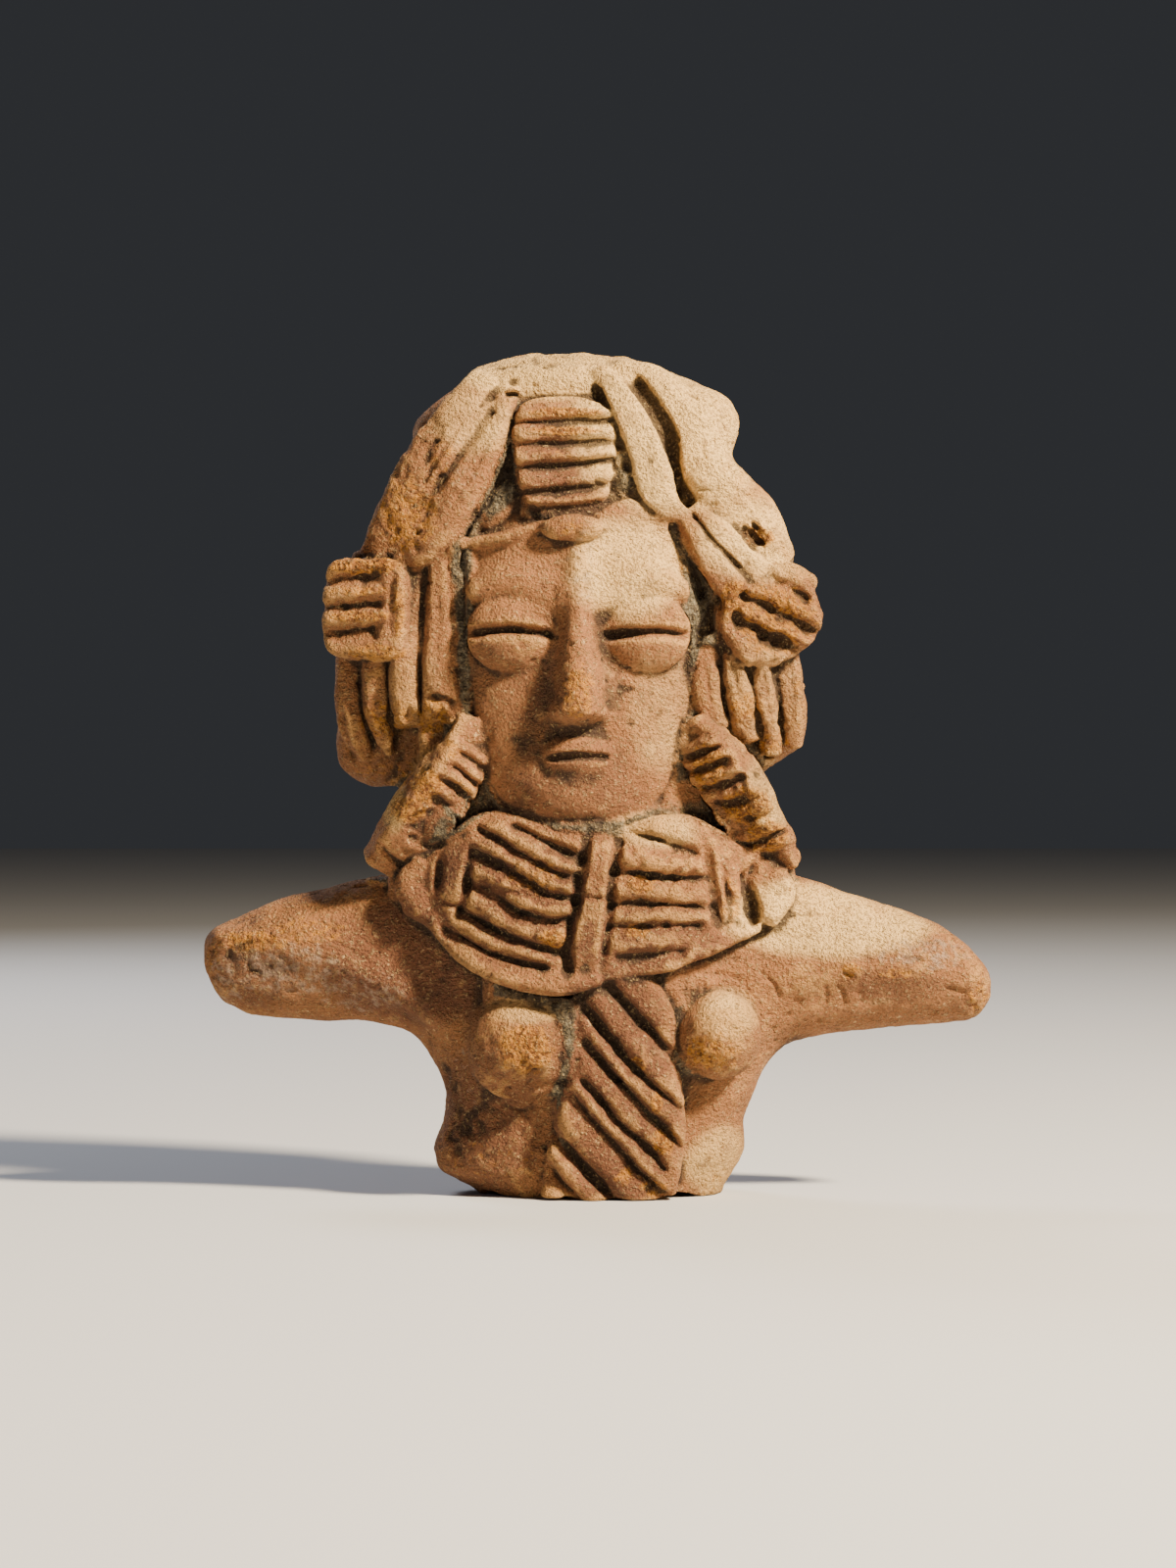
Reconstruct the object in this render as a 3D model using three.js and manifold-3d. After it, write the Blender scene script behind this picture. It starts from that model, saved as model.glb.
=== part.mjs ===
// A broken terracotta figurine: a woman's bust with stump arms, a wide collar, a slashed pendant
// between the breasts and a headdress of hair straps and grooved pads. It was pinched and built up
// from lumps of clay that were pressed together wet, so it is one solid once fired.
// Millimetres, +Z up, the face looks along -Y, +X is the right-hand side seen from the front.
// The figure stands on the flat break at its waist, and the origin is under its middle.
import * as THREE from "three";
import { mergeVertices } from "three/addons/utils/BufferGeometryUtils.js";
import Module from "manifold-3d";

const wasm = await Module();
wasm.setup();

// Driving sizes
const GROOVE = 1.4; // width of the tool that scored the pads and the collar
const GASH = 1.8; // width of the knife slashes on the pendant
const FACE_MID = -2.4; // the face's middle line stands a little to the left of the body's
const CHIN = 48;
const HAIRLINE = 84.5;
const FACE_THIRD = (HAIRLINE - CHIN) / 3;
const NOSE_BASE = CHIN + FACE_THIRD;
const EYE_LINE = NOSE_BASE + 0.95 * FACE_THIRD;
const MOUTH_LINE = NOSE_BASE - FACE_THIRD / 3;
const EYE_APART = 8.4; // from the middle line to the middle of each eye pellet

const FRONT = new THREE.Vector3(0, -1, 0);
const UP = new THREE.Vector3(0, 0, 1);

// Stations of a lump, from its outline and its front and back faces at one height or at one x.
const level = (z, left, right, front, back) => [
  (left + right) / 2,
  (front + back) / 2,
  z,
  (right - left) / 2,
  (back - front) / 2,
];
const slice = (x, low, top, front, back) => [
  x,
  (front + back) / 2,
  (low + top) / 2,
  (top - low) / 2,
  (back - front) / 2,
];

const smooth = (points) =>
  new THREE.CatmullRomCurve3(points.map(([x, y, z = 0]) => new THREE.Vector3(x, y, z)), false, "catmullrom");

// A squared oval: 2 is a plain oval, more is squarer.
const bend = (value, square) => Math.sign(value) * Math.abs(value) ** (2 / square);

// A closed skin over rings of points, with a point at each end.
function skin(rings, start, end) {
  const sides = rings[0].length;
  const points = rings.flat();
  const first = points.push(start) - 1;
  const last = points.push(end) - 1;
  const at = (i, j) => i * sides + (j % sides);
  const index = [];
  for (let j = 0; j < sides; j++) {
    for (let i = 0; i < rings.length - 1; i++) {
      index.push(at(i, j), at(i + 1, j), at(i + 1, j + 1));
      index.push(at(i, j), at(i + 1, j + 1), at(i, j + 1));
    }
    index.push(first, at(0, j), at(0, j + 1));
    index.push(last, at(rings.length - 1, j + 1), at(rings.length - 1, j));
  }
  return new THREE.BufferGeometry().setFromPoints(points).setIndex(index);
}

// A lump of clay as a profile carried along a smooth path through stations of
// [x, y, z, half width, half thickness], with the thickness towards the front.
// dome is how far each end bulges; facing, where given, keeps the sections square to one direction.
function carried(stations, { facing, sides = 8, square = 2.4, dome = [0, 0] } = {}) {
  const path = smooth(stations);
  const size = smooth(stations.map((s) => [s[3], s[4]]));
  const steps = stations.length - 1;
  const ring = (t, forward, shrink) => {
    const along = facing ?? path.getTangent(t);
    const centre = path.getPoint(t).addScaledVector(along, forward);
    const half = size.getPoint(t).multiplyScalar(shrink);
    const side = new THREE.Vector3().crossVectors(along, FRONT).normalize();
    const outward = new THREE.Vector3().crossVectors(side, along).normalize();
    return Array.from({ length: sides }, (_, j) => {
      const angle = (2 * Math.PI * (j + 0.5)) / sides;
      return centre
        .clone()
        .addScaledVector(side, half.x * bend(Math.cos(angle), square))
        .addScaledVector(outward, half.y * bend(Math.sin(angle), square));
    });
  };
  const tip = (t, reach) => path.getPoint(t).addScaledVector(facing ?? path.getTangent(t), reach);
  const rings = Array.from({ length: steps + 1 }, (_, i) => ring(i / steps, 0, 1));
  if (dome[0]) rings.unshift(ring(0, -0.7 * dome[0], 0.7));
  if (dome[1]) rings.push(ring(1, 0.7 * dome[1], 0.7));
  return skin(rings, tip(0, -dome[0]), tip(1, dome[1]));
}

// A rolled pellet of clay pressed on, with radii [across, deep, high].
const pellet = (centre, radii, around = 12, rows = 6) =>
  new THREE.SphereGeometry(1, around, rows).scale(...radii).translate(...centre);

// A pad of clay with a flat front face of half sizes across and high, whose sides run back by thick.
// turn rolls it in its own plane, out is the way it faces and narrow draws in its lower edge.
function pad(centre, [across, high], { thick = 7, turn = 0, square = 3.2, out = FRONT, narrow = 0 }) {
  const front = new THREE.Vector3(...centre);
  const upright = UP.clone().applyAxisAngle(out, THREE.MathUtils.degToRad(turn));
  const side = new THREE.Vector3().crossVectors(out, upright).normalize();
  const sides = 16;
  const ring = (depth, shrink) =>
    Array.from({ length: sides }, (_, j) => {
      const angle = (2 * Math.PI * (j + 0.5)) / sides;
      const rise = bend(Math.sin(angle), square);
      const width = across * (1 - (narrow * (1 - rise)) / 2);
      return front
        .clone()
        .addScaledVector(out, -depth)
        .addScaledVector(side, width * shrink * bend(Math.cos(angle), square))
        .addScaledVector(upright, high * shrink * rise);
    });
  const rings = [ring(thick, 1), ring(0.8, 1), ring(0, 0.87)];
  return skin(rings, front.clone().addScaledVector(out, -thick), front);
}

const lumps = [];
const add = (...geometries) => lumps.push(...geometries);

// The trunk, wide and flat, from the broken waist up into the neck.
add(
  carried(
    [
      level(0, -12.5, 15, -8.6, 8.5),
      level(1.2, -15.5, 16.2, -9.8, 9.8),
      level(2.6, -19.4, 17.5, -10.4, 10.4),
      level(4.8, -21, 18.8, -10.8, 10.7),
      level(9.6, -20, 18.9, -11, 10.6),
      level(14, -19.6, 19.8, -11.2, 10.5),
      level(20, -20, 20, -11.6, 10.8),
      level(27, -19, 19.5, -12, 10.8),
      level(35, -17, 17, -12.2, 10.4),
      level(43, -14.5, 13.5, -12, 9.6),
      level(54, -13, 11, -10, 8),
    ],
    { facing: UP, sides: 16, square: 2.5 },
  ),
);

// The stump arms, which swell out of one thick yoke across the chest.
const arm = (way, stations) =>
  add(carried(stations, { facing: new THREE.Vector3(way, 0, 0), sides: 12, square: 2.2, dome: [0, 0.5] }));
arm(-1, [
  slice(-6, 9, 42, -10.6, 10),
  slice(-15, 9, 42.3, -10.8, 9.7),
  slice(-19.5, 14.5, 42, -10, 8.9),
  slice(-23, 19.6, 41.5, -9, 7.8),
  slice(-29, 21.9, 40.6, -8, 6.7),
  slice(-35, 22.1, 39.5, -7.4, 6),
  slice(-41, 22.7, 38, -6.9, 5.2),
  slice(-46, 23.8, 36, -6, 4.2),
  slice(-49, 25.9, 34.6, -4.8, 2.9),
  slice(-50.5, 29, 33.2, -3.2, 1.6),
]);
arm(1, [
  slice(6, 8, 42, -10.6, 10),
  slice(15, 8, 42.5, -10.8, 9.7),
  slice(19.5, 13, 41.9, -10, 8.9),
  slice(23, 17.6, 41.3, -9, 7.8),
  slice(28, 19.8, 40, -8.1, 6.8),
  slice(34, 21, 38.2, -7.5, 6.1),
  slice(40, 21.5, 36.3, -6.9, 5.3),
  slice(45.5, 22, 33.6, -6, 4.2),
  slice(49.3, 23, 30.2, -4.7, 2.8),
  slice(50.4, 24.6, 28.4, -3.2, 1.6),
]);

// Breasts: a low mound with a rounder pellet on it.
add(
  pellet([-9.4, -10, 20.4], [6.5, 6.2, 6.7]),
  pellet([-9.8, -8.6, 21.6], [7.8, 5, 8]),
  pellet([15.2, -9.6, 21.9], [5.6, 6, 6]),
  pellet([15.2, -8.4, 22], [6.6, 4.4, 7.6]),
);

// The wide mass of hair behind the face, spread like a hood under a broken crown.
add(
  carried(
    [
      level(52.4, -29.8, 14, -2, 6.2),
      level(54.4, -32.8, 20.6, -5, 7.8),
      level(57.4, -33.8, 25.6, -6.8, 9.2),
      level(61, -33.6, 26.9, -7.6, 10),
      level(67, -32.6, 26.3, -8, 10.6),
      level(75, -31.8, 25.8, -8.4, 10.8),
      level(82, -31, 24.9, -8.6, 10.8),
      level(86, -29.3, 23.5, -8.6, 10.6),
      level(89, -27.4, 19.4, -8.4, 10.4),
      level(93, -25.2, 16.8, -8.2, 10),
      level(96.6, -23.9, 16.3, -8, 9.6),
      level(99.4, -23.4, 17.2, -7.6, 9),
      level(102.4, -20.5, 15.6, -7, 8.4),
      level(105, -17, 11.8, -6.4, 7.6),
      level(107, -14.6, 6.6, -5.2, 6.4),
      level(108.4, -9.8, 3.6, -3.4, 4.4),
    ],
    { facing: UP, sides: 20, square: 3 },
  ),
  // the fill of clay behind the jaw that joins the hair to the shoulders
  carried(
    [
      level(35, -22, 21, -4, 8.4),
      level(45, -24.6, 22, -7.6, 9.2),
      level(55, -23.6, 20.6, -9.4, 9.4),
      level(63, -22, 18, -7, 9),
    ],
    { facing: UP, sides: 12, square: 2.8 },
  ),
  // the swell of the skull at the back
  pellet([-3.4, 4.4, 82], [23, 8.9, 23], 16, 8),
  // the lump that has crumbled above the right-hand pad
  pellet([19, -3.4, 84.2], [5.2, 6.6, 4.2]),
);

// The face: flat cheeks, a pinched wedge of a nose, and slit pellets for the eyes and the mouth.
add(
  carried(
    [
      level(CHIN - 2, FACE_MID - 5, FACE_MID + 5, -11, 4),
      level(CHIN, FACE_MID - 8.6, FACE_MID + 8.6, -14, 4),
      level(CHIN + 3.5, FACE_MID - 11.6, FACE_MID + 11.6, -15.4, 4),
      level(CHIN + 10, FACE_MID - 14, FACE_MID + 14, -15.4, 4),
      level(CHIN + 20, FACE_MID - 15.4, FACE_MID + 15.4, -14.8, 4),
      level(HAIRLINE - 5, FACE_MID - 15.4, FACE_MID + 15.2, -14.6, 4),
      level(HAIRLINE + 3, FACE_MID - 13.6, FACE_MID + 13.6, -13.8, 4),
      level(HAIRLINE + 9, FACE_MID - 10, FACE_MID + 10, -10.6, 4),
    ],
    { facing: UP, sides: 16, square: 2.6 },
  ),
  carried(
    [
      [FACE_MID, -12.6, HAIRLINE - 2, 1.2, 2],
      [FACE_MID, -13.8, EYE_LINE + 5, 1.7, 2.6],
      [FACE_MID, -14.8, EYE_LINE - 1, 2.2, 3.4],
      [FACE_MID, -15.4, NOSE_BASE + 4.6, 3.2, 4.4],
      [FACE_MID, -15.6, NOSE_BASE + 1.4, 4, 4.8],
      [FACE_MID, -15, NOSE_BASE - 0.2, 3.2, 3.4],
    ],
    { facing: UP.clone().negate(), sides: 8 },
  ),
  pellet([FACE_MID, -15, MOUTH_LINE], [4.6, 3, 3.2]),
  pellet([FACE_MID, -12.6, CHIN + 4.2], [6, 3.9, 4.2]),
);
for (const way of [-1, 1]) add(pellet([FACE_MID + way * EYE_APART, -13.4, EYE_LINE], [6, 3.2, 5.2], 14));

// The thin band along the hairline, broken off near the middle, and its pellet.
const band = { sides: 6, square: 2, dome: [0.6, 0.6] };
add(
  carried(
    [
      [-16.6, -11.6, 83.4, 0.8, 1],
      [-12, -13.6, 84.2, 0.9, 1.1],
      [-6.4, -14.4, 85.7, 0.9, 1.1],
    ],
    band,
  ),
  carried(
    [
      [-0.4, -14.4, 85.8, 1, 1.1],
      [4.4, -13.8, 87.8, 1.1, 1.2],
      [8.2, -12.4, 88.4, 0.8, 1.1],
    ],
    band,
  ),
  pellet([-3.3, -14.8, 85.1], [4, 1.9, 1.8], 10, 6),
);

// Straps of hair laid over the crown, each a flat coil pressed down at its ends.
const crownStraps = [
  [
    [-11.5, -5, 104.4, 3.4, 2.4],
    [-17, -8, 98.6, 4.2, 2.8],
    [-21, -8.6, 91.6, 4.4, 2.8],
    [-25.4, -8.2, 84.2, 4.2, 2.4],
  ],
  [
    [-10.4, -8.2, 101.2, 2, 1.8],
    [-13.2, -10.4, 95.8, 3, 2.2],
    [-17, -11, 89.2, 3.7, 2.2],
    [-22, -10.4, 83.2, 3.6, 2],
  ],
  [
    [-0.8, -8, 104.4, 1.6, 1.6],
    [3, -10.4, 98.4, 2.4, 2],
    [6, -11.6, 92, 2.7, 2.2],
    [10, -11.8, 87, 1.7, 1.8],
  ],
  [
    [10.9, -11.6, 86, 1.9, 1.8],
    [13.6, -11.2, 82, 2, 1.9],
    [16.8, -10, 77.8, 1.8, 1.8],
  ],
  [
    [2.6, -7.4, 105, 1.7, 1.6],
    [6.6, -9.4, 99.6, 2, 1.8],
    [10, -10.2, 94, 1.8, 1.8],
    [11.6, -10.4, 89, 1.3, 1.6],
  ],
  [
    [12.4, -10, 88, 1.4, 1.6],
    [15.4, -9.8, 84.2, 1.7, 1.8],
    [19, -9, 80, 1.6, 1.7],
  ],
];
for (const stations of crownStraps) add(carried(stations, { dome: [0.9, 0.9] }));

// Locks that hang on both sides of the face, one ridge each: x, front face, half width, top, foot.
const hangingLocks = [
  [-31, -6.6, 1.9, 70, 57.4],
  [-27.8, -9.4, 1.8, 69, 56.6],
  [-24.4, -10, 1.8, 71, 57.2],
  [-20.4, -10.8, 2.1, 80, 59],
  [13.5, -11.6, 1.7, 70.6, 60],
  [17.4, -10.6, 2, 71, 58.4],
  [20.9, -9.8, 1.6, 68, 56.2],
  [24.4, -7.8, 1.9, 67, 58.4],
];
for (const [x, front, half, top, foot] of hangingLocks)
  add(
    carried(
      [
        [x, front + 3, top, half * 0.7, 2],
        [x - 0.2, front + 2.8, (top + foot) / 2, half, 2.8],
        [x + 0.6, front + 3.2, foot, half * 0.9, 2.4],
      ],
      { sides: 7, square: 2, dome: [1, 1.4] },
    ),
  );

// Grooved pads: one over the forehead and one on each temple, turned a little outwards.
const outwards = (degrees) => FRONT.clone().applyAxisAngle(UP, THREE.MathUtils.degToRad(degrees));
add(
  pad([-3.9, -14.8, 94.4], [7.3, 7.7], { thick: 8, square: 3.4, narrow: 0.22 }),
  pad([-29.4, -12, 74.8], [5.9, 6.4], { thick: 9, square: 4, turn: -3, out: outwards(-14) }),
  pad([22.5, -12, 73.6], [6.8, 5.9], { thick: 9, square: 2.8, turn: 26, out: outwards(14) }),
  pellet([26.6, -9, 79.2], [1.6, 2, 1.4], 8, 5),
);

// Scored bars that hang from behind the jaw on to the ends of the collar.
const bars = [
  [
    [-16.6, -10.6, 59.6, 3.6, 3.6],
    [-19.9, -10.8, 53.8, 4.1, 3.8],
    [-23.6, -9.6, 47.8, 4, 3.8],
    [-27.4, -8, 42.8, 3.4, 3.4],
  ],
  [
    [13.2, -10.8, 59.8, 3.4, 3.6],
    [15.8, -11.2, 54.4, 4, 3.8],
    [19.6, -10, 49, 4.2, 3.8],
    [23.2, -8.4, 43, 3.4, 3.4],
  ],
];
for (const stations of bars) add(carried(stations, { sides: 10, square: 3.4, dome: [1, 1] }));

// The wide collar, laid round the neck and over the chest.
add(
  carried(
    [
      slice(-26.4, 37.8, 41.6, -6.6, 0),
      slice(-23.4, 36.6, 43.6, -9.6, 0),
      slice(-19.4, 34.6, 46, -12.4, 0),
      slice(-15.6, 30, 48.6, -14.2, 0),
      slice(-10.6, 27.4, 49.4, -15.8, 0),
      slice(-4.6, 25.9, 47.6, -16.8, 0),
      slice(1.6, 26.9, 47.4, -16.8, 0),
      slice(7.6, 28.6, 48.8, -16, 0),
      slice(12.4, 30.4, 48.6, -14.6, 0),
      slice(17, 32.2, 46, -12.6, 0),
      slice(21.4, 34.6, 44.2, -9.8, 0),
      slice(24.8, 37.8, 42.4, -6.8, 0),
    ],
    { facing: new THREE.Vector3(1, 0, 0), sides: 12, square: 4, dome: [0.6, 0.6] },
  ),
);

// The pendant that falls from the collar between the breasts to the break.
add(
  carried(
    [
      level(31, 0.6, 4.6, -14, -8),
      level(28, -0.9, 7.6, -15, -8),
      level(24.4, -2.5, 9.6, -15.2, -8),
      level(18.5, -3.4, 10.1, -15.2, -8),
      level(12.4, -4.7, 10.9, -15, -8),
      level(6.6, -6.4, 10.9, -14.2, -8),
      level(0, -7.2, 9.9, -13.2, -7),
    ],
    { facing: UP.clone().negate(), sides: 12, square: 3.6 },
  ),
);

// Turning the shapes into closed solids, and back.
function solidOf(geometry) {
  const bare = geometry.clone();
  bare.deleteAttribute("normal");
  bare.deleteAttribute("uv");
  const merged = mergeVertices(bare, 1e-4);
  const corners = [...merged.index.array];
  const triangles = [];
  for (let i = 0; i < corners.length; i += 3) {
    const [a, b, c] = corners.slice(i, i + 3);
    if (a !== b && b !== c && c !== a) triangles.push(a, b, c);
  }
  return new wasm.Manifold(
    new wasm.Mesh({
      numProp: 3,
      vertProperties: new Float32Array(merged.getAttribute("position").array),
      triVerts: new Uint32Array(triangles),
    }),
  );
}

function geometryOf(solid) {
  const mesh = solid.getMesh();
  const geometry = new THREE.BufferGeometry()
    .setAttribute("position", new THREE.BufferAttribute(new Float32Array(mesh.vertProperties), 3))
    .setIndex(new THREE.BufferAttribute(new Uint32Array(mesh.triVerts), 1));
  geometry.computeVertexNormals();
  return geometry;
}

const built = lumps.map(solidOf).reduce((whole, lump) => whole.add(lump));

// The front of the built-up clay, which the tool marks are pressed into.
const clay = new THREE.Mesh(geometryOf(built));
const probe = new THREE.Raycaster();
function frontAt(x, z) {
  probe.set(new THREE.Vector3(x, -60, z), new THREE.Vector3(0, 1, 0));
  return probe.intersectObject(clay)[0]?.point.y ?? 0;
}

// The mark of a tool drawn over the front from (x1, z1) to (x2, z2): a groove with a V section
// and pointed ends, which lies on the clay's surface at a fifth and at four fifths of its length.
const marks = [];
function stroke(x1, z1, x2, z2, width = GROOVE, depth = width) {
  const at = (t) => [x1 + t * (x2 - x1), z1 + t * (z2 - z1)];
  const near = frontAt(...at(0.2));
  const far = frontAt(...at(0.8));
  const slope = (far - near) / 0.6;
  const from = new THREE.Vector3(x1, near - 0.2 * slope, z1);
  const to = new THREE.Vector3(x2, far + 0.2 * slope, z2);
  const along = new THREE.Vector3().subVectors(to, from);
  const half = along.length() / 2;
  along.normalize();
  const side = new THREE.Vector3().crossVectors(FRONT, along).normalize();
  const inward = new THREE.Vector3().crossVectors(side, along);
  const place = new THREE.Matrix4()
    .makeBasis(side, along, inward)
    .setPosition(from.add(to).multiplyScalar(0.5));
  const profile = [
    [0, -half],
    [1, -0.72 * half],
    [1, 0.72 * half],
    [0, half],
  ].map(([radius, reach]) => new THREE.Vector2(radius, reach));
  marks.push(new THREE.LatheGeometry(profile, 4).scale(width / 2, 1, depth).applyMatrix4(place));
}

// Slits across the eye pellets and the mouth.
stroke(FACE_MID - 5, MOUTH_LINE, FACE_MID + 5, MOUTH_LINE, 1.1, 1.5);
for (const way of [-1, 1]) {
  const eye = FACE_MID + way * EYE_APART;
  stroke(eye - way * 6, EYE_LINE + 0.2, eye + way * 6.4, EYE_LINE - 0.4, 1.9, 2);
}

// Grooves over the three pads.
for (let i = 0; i < 5; i++) {
  const z = 100 - i * 2.8;
  const rise = 0.15 + 0.12 * i;
  stroke(-11.4 + 0.3 * i, z - rise, 3.8 - 0.3 * i, z + rise);
}
for (const z of [78.6, 75.5, 72.3]) stroke(-35.6, z, -26.8, z - 0.4, 1.6);
for (const [x, z] of [
  [23.6, 78.6],
  [23.2, 74.9],
  [22.3, 71.6],
])
  stroke(x - 5.6, z + 2.4, x + 5.4, z - 2.2);

// Scores on the bars.
const scores = [
  [-19.2, 58.6, -14.4, 55.6],
  [-19.4, 55.8, -15.4, 52.6],
  [-21, 53.6, -16.4, 49.8],
  [-22.4, 50.6, -18.6, 47.6],
  [-29.6, 46.6, -25.2, 42.2],
  [9.9, 58.6, 16, 59.4],
  [10, 56.7, 16.4, 57.8],
  [10.6, 54.8, 17, 56],
  [11.8, 52.6, 18, 53.8],
  [13.6, 50.4, 18.6, 51.6],
  [17.8, 45.6, 24.2, 47.2],
  [20.8, 43, 26, 44.6],
];
for (const [x1, z1, x2, z2] of scores) stroke(x1, z1, x2, z2, 1.2);

// The collar's bars, gashed off with upright strokes, and the rows of strokes between them.
const uprights = [
  [-1.3, 48, -4.3, 27.4, 1.4],
  [2.5, 48.4, 0.4, 28, 1.3],
  [14.2, 48, 15.9, 32.4, 1.3],
  [17.9, 46.2, 19.4, 34, 1.2],
  [-15.8, 48, -17.5, 33, 1.2],
  [-20.4, 45, -20.8, 36, 1.2],
];
for (const [x1, z1, x2, z2, width] of uprights) stroke(x1, z1, x2, z2, width, 1.5);
const leftRows = [
  [-11.6, 48, -2.4, 44.3],
  [-14.4, 46.8, -2.6, 41.6],
  [-14, 43.4, -3, 39.3],
  [-15, 40, -3.4, 36.6],
  [-16.4, 36.8, -3.8, 33.2],
  [-15.6, 33.6, -5, 29.4],
];
const rightRows = [
  [2.6, 46.8, 12.8, 44.3],
  [2.4, 43.2, 13.6, 42],
  [2.2, 40.4, 14, 39.4],
  [1.8, 37.4, 14.4, 36.6],
  [1.6, 34.4, 13, 34.4],
  [1.8, 31.4, 10.6, 31.8],
];
for (const [x1, z1, x2, z2] of [...leftRows, ...rightRows]) stroke(x1, z1, x2, z2);

// Slanting knife slashes down the pendant.
const slashes = [
  [-0.6, 29.6, 11.4, 15.6],
  [-2.4, 25.2, 11.2, 11.6],
  [-2.6, 20.4, 11.2, 7],
  [-3, 15.6, 9.6, 3.8],
  [-4.2, 12.6, 8.6, 0.4],
  [-5.8, 8.4, 2.2, -0.4],
  [-6.8, 4.4, -2, -0.4],
];
for (const [x1, z1, x2, z2] of slashes) stroke(x1, z1, x2, z2, GASH, 1.4);

// Everything below the break at the waist is lost.
marks.push(new THREE.BoxGeometry(120, 60, 20).translate(0, 0, -10));

const carved = marks.map(solidOf).reduce((whole, cut) => whole.subtract(cut), built);

const terracotta = new THREE.MeshStandardMaterial({ color: 0xb4805a, roughness: 0.92, metalness: 0 });
const bust = new THREE.Mesh(geometryOf(carved), terracotta);
bust.name = "terracotta_bust";

// Put the origin under the middle of the whole figure, on the plane it stands on.
const bounds = new THREE.Box3().setFromObject(bust);
const middle = bounds.getCenter(new THREE.Vector3());
bust.position.set(-middle.x, -middle.y, -bounds.min.z);

const figurine = new THREE.Group();
figurine.add(bust);

export default figurine;
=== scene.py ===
import itertools
import math

import bpy
import numpy as np
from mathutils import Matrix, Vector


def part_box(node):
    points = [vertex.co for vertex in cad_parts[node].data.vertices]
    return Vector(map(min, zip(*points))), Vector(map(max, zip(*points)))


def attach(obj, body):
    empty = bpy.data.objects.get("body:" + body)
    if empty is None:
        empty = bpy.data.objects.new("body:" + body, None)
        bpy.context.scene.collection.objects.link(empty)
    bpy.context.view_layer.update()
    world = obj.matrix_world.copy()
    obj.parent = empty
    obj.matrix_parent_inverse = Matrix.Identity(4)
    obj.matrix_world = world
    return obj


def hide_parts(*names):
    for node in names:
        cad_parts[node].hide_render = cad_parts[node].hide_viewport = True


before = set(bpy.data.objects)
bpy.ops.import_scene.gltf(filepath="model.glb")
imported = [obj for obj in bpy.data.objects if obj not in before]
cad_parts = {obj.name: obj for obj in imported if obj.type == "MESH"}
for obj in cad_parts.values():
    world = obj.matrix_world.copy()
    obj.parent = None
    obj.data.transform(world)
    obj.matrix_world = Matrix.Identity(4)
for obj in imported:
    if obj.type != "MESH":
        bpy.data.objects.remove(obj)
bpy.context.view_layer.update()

import openvdb
from mathutils import Vector

NODE = "terracotta_bust"
MM = 0.001
CELL = 0.25  # spacing of the grid
MOST_TRIANGLES = 194_000
FAR = 6.0  # the distance kept where no clay is near
NOTHING = 99.0  # how far back the front is where there is no clay

# The corner of the drawing that meets the low corner of the frame's box.
DRAWN_LEFT = -50.95
DRAWN_FRONT = -20.1

FACE_MID = -2.4
CHIN = 48.0
HAIRLINE = 84.5
FACE_THIRD = (HAIRLINE - CHIN) / 3
NOSE_BASE = CHIN + FACE_THIRD
EYE_LINE = NOSE_BASE + 0.95 * FACE_THIRD
MOUTH_LINE = NOSE_BASE - FACE_THIRD / 3
EYE_APART = 8.4

FRONT = (0.0, -1.0, 0.0)
UP = (0.0, 0.0, 1.0)

GRID = [np.arange(low, high, CELL) for low, high in ((-54, 54), (-24, 16.5), (-3, 112))]
clay = np.full([len(axis) for axis in GRID], FAR, np.float32)


# Curves and chance

def through(knots, values, at):
    """A smooth curve through the values at the knots: a cubic between each two, with the slope at a
    knot taken from its neighbours."""
    knots = np.asarray(knots, float)
    values = np.asarray(values, float)
    slopes = np.gradient(values, knots, axis=0)
    i = np.clip(np.searchsorted(knots, at) - 1, 0, len(knots) - 2)
    width = (knots[i + 1] - knots[i])[:, None]
    t = np.clip((np.asarray(at) - knots[i])[:, None] / width, 0, 1)
    start = (1 + 2 * t) * (1 - t) ** 2 * values[i] + t * (1 - t) ** 2 * width * slopes[i]
    end = t * t * (3 - 2 * t) * values[i + 1] + t * t * (t - 1) * width * slopes[i + 1]
    return start + end


def blended(cells, parts, field, period=None):
    """The field at each place, blended from the eight corners of its cell by the part of the way
    through it. With a period the field repeats."""
    total = 0.0
    for corner in itertools.product((0, 1), repeat=3):
        share = 1.0
        for step, part in zip(corner, parts):
            share = share * (part if step else 1 - part)
        spot = [cell + step for cell, step in zip(cells, corner)]
        if period:
            spot = [place % period for place in spot]
        total = total + share * field[tuple(spot)]
    return total


def noise(x, y, z, size, seed):
    """A smooth random value from -1 to 1: random numbers on a cubic lattice of that size, blended
    by the smoothstep of the place inside each cell."""
    period = 32  # in cells
    table = np.random.default_rng(seed).uniform(-1, 1, [period] * 3).astype(np.float32)
    cells = []
    parts = []
    for axis in (x, y, z):
        place = axis / size
        cell = np.floor(place)
        part = (place - cell).astype(np.float32)
        cells.append(cell.astype(int))
        parts.append(part * part * (3 - 2 * part))
    return blended(cells, parts, table, period)


def grain(x, y, z, size, seed, layers=3):
    """Noise on noise: each layer has half the size and half the height of the one before."""
    return sum(noise(x, y, z, size / 2**i, seed + i) / 2**i for i in range(layers))


def along_line(gone, size, seed, lane=0.0):
    """Noise along a line. Another lane gives another line of it."""
    lane = 0 * gone + lane
    return noise(gone, lane, lane, size, seed)


def fade(value, start, end):
    """0 before start and 1 after end, turning smoothly between them."""
    t = np.clip((value - start) / (end - start), 0, 1)
    return t * t * (3 - 2 * t)


# Pressing lumps together

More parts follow.
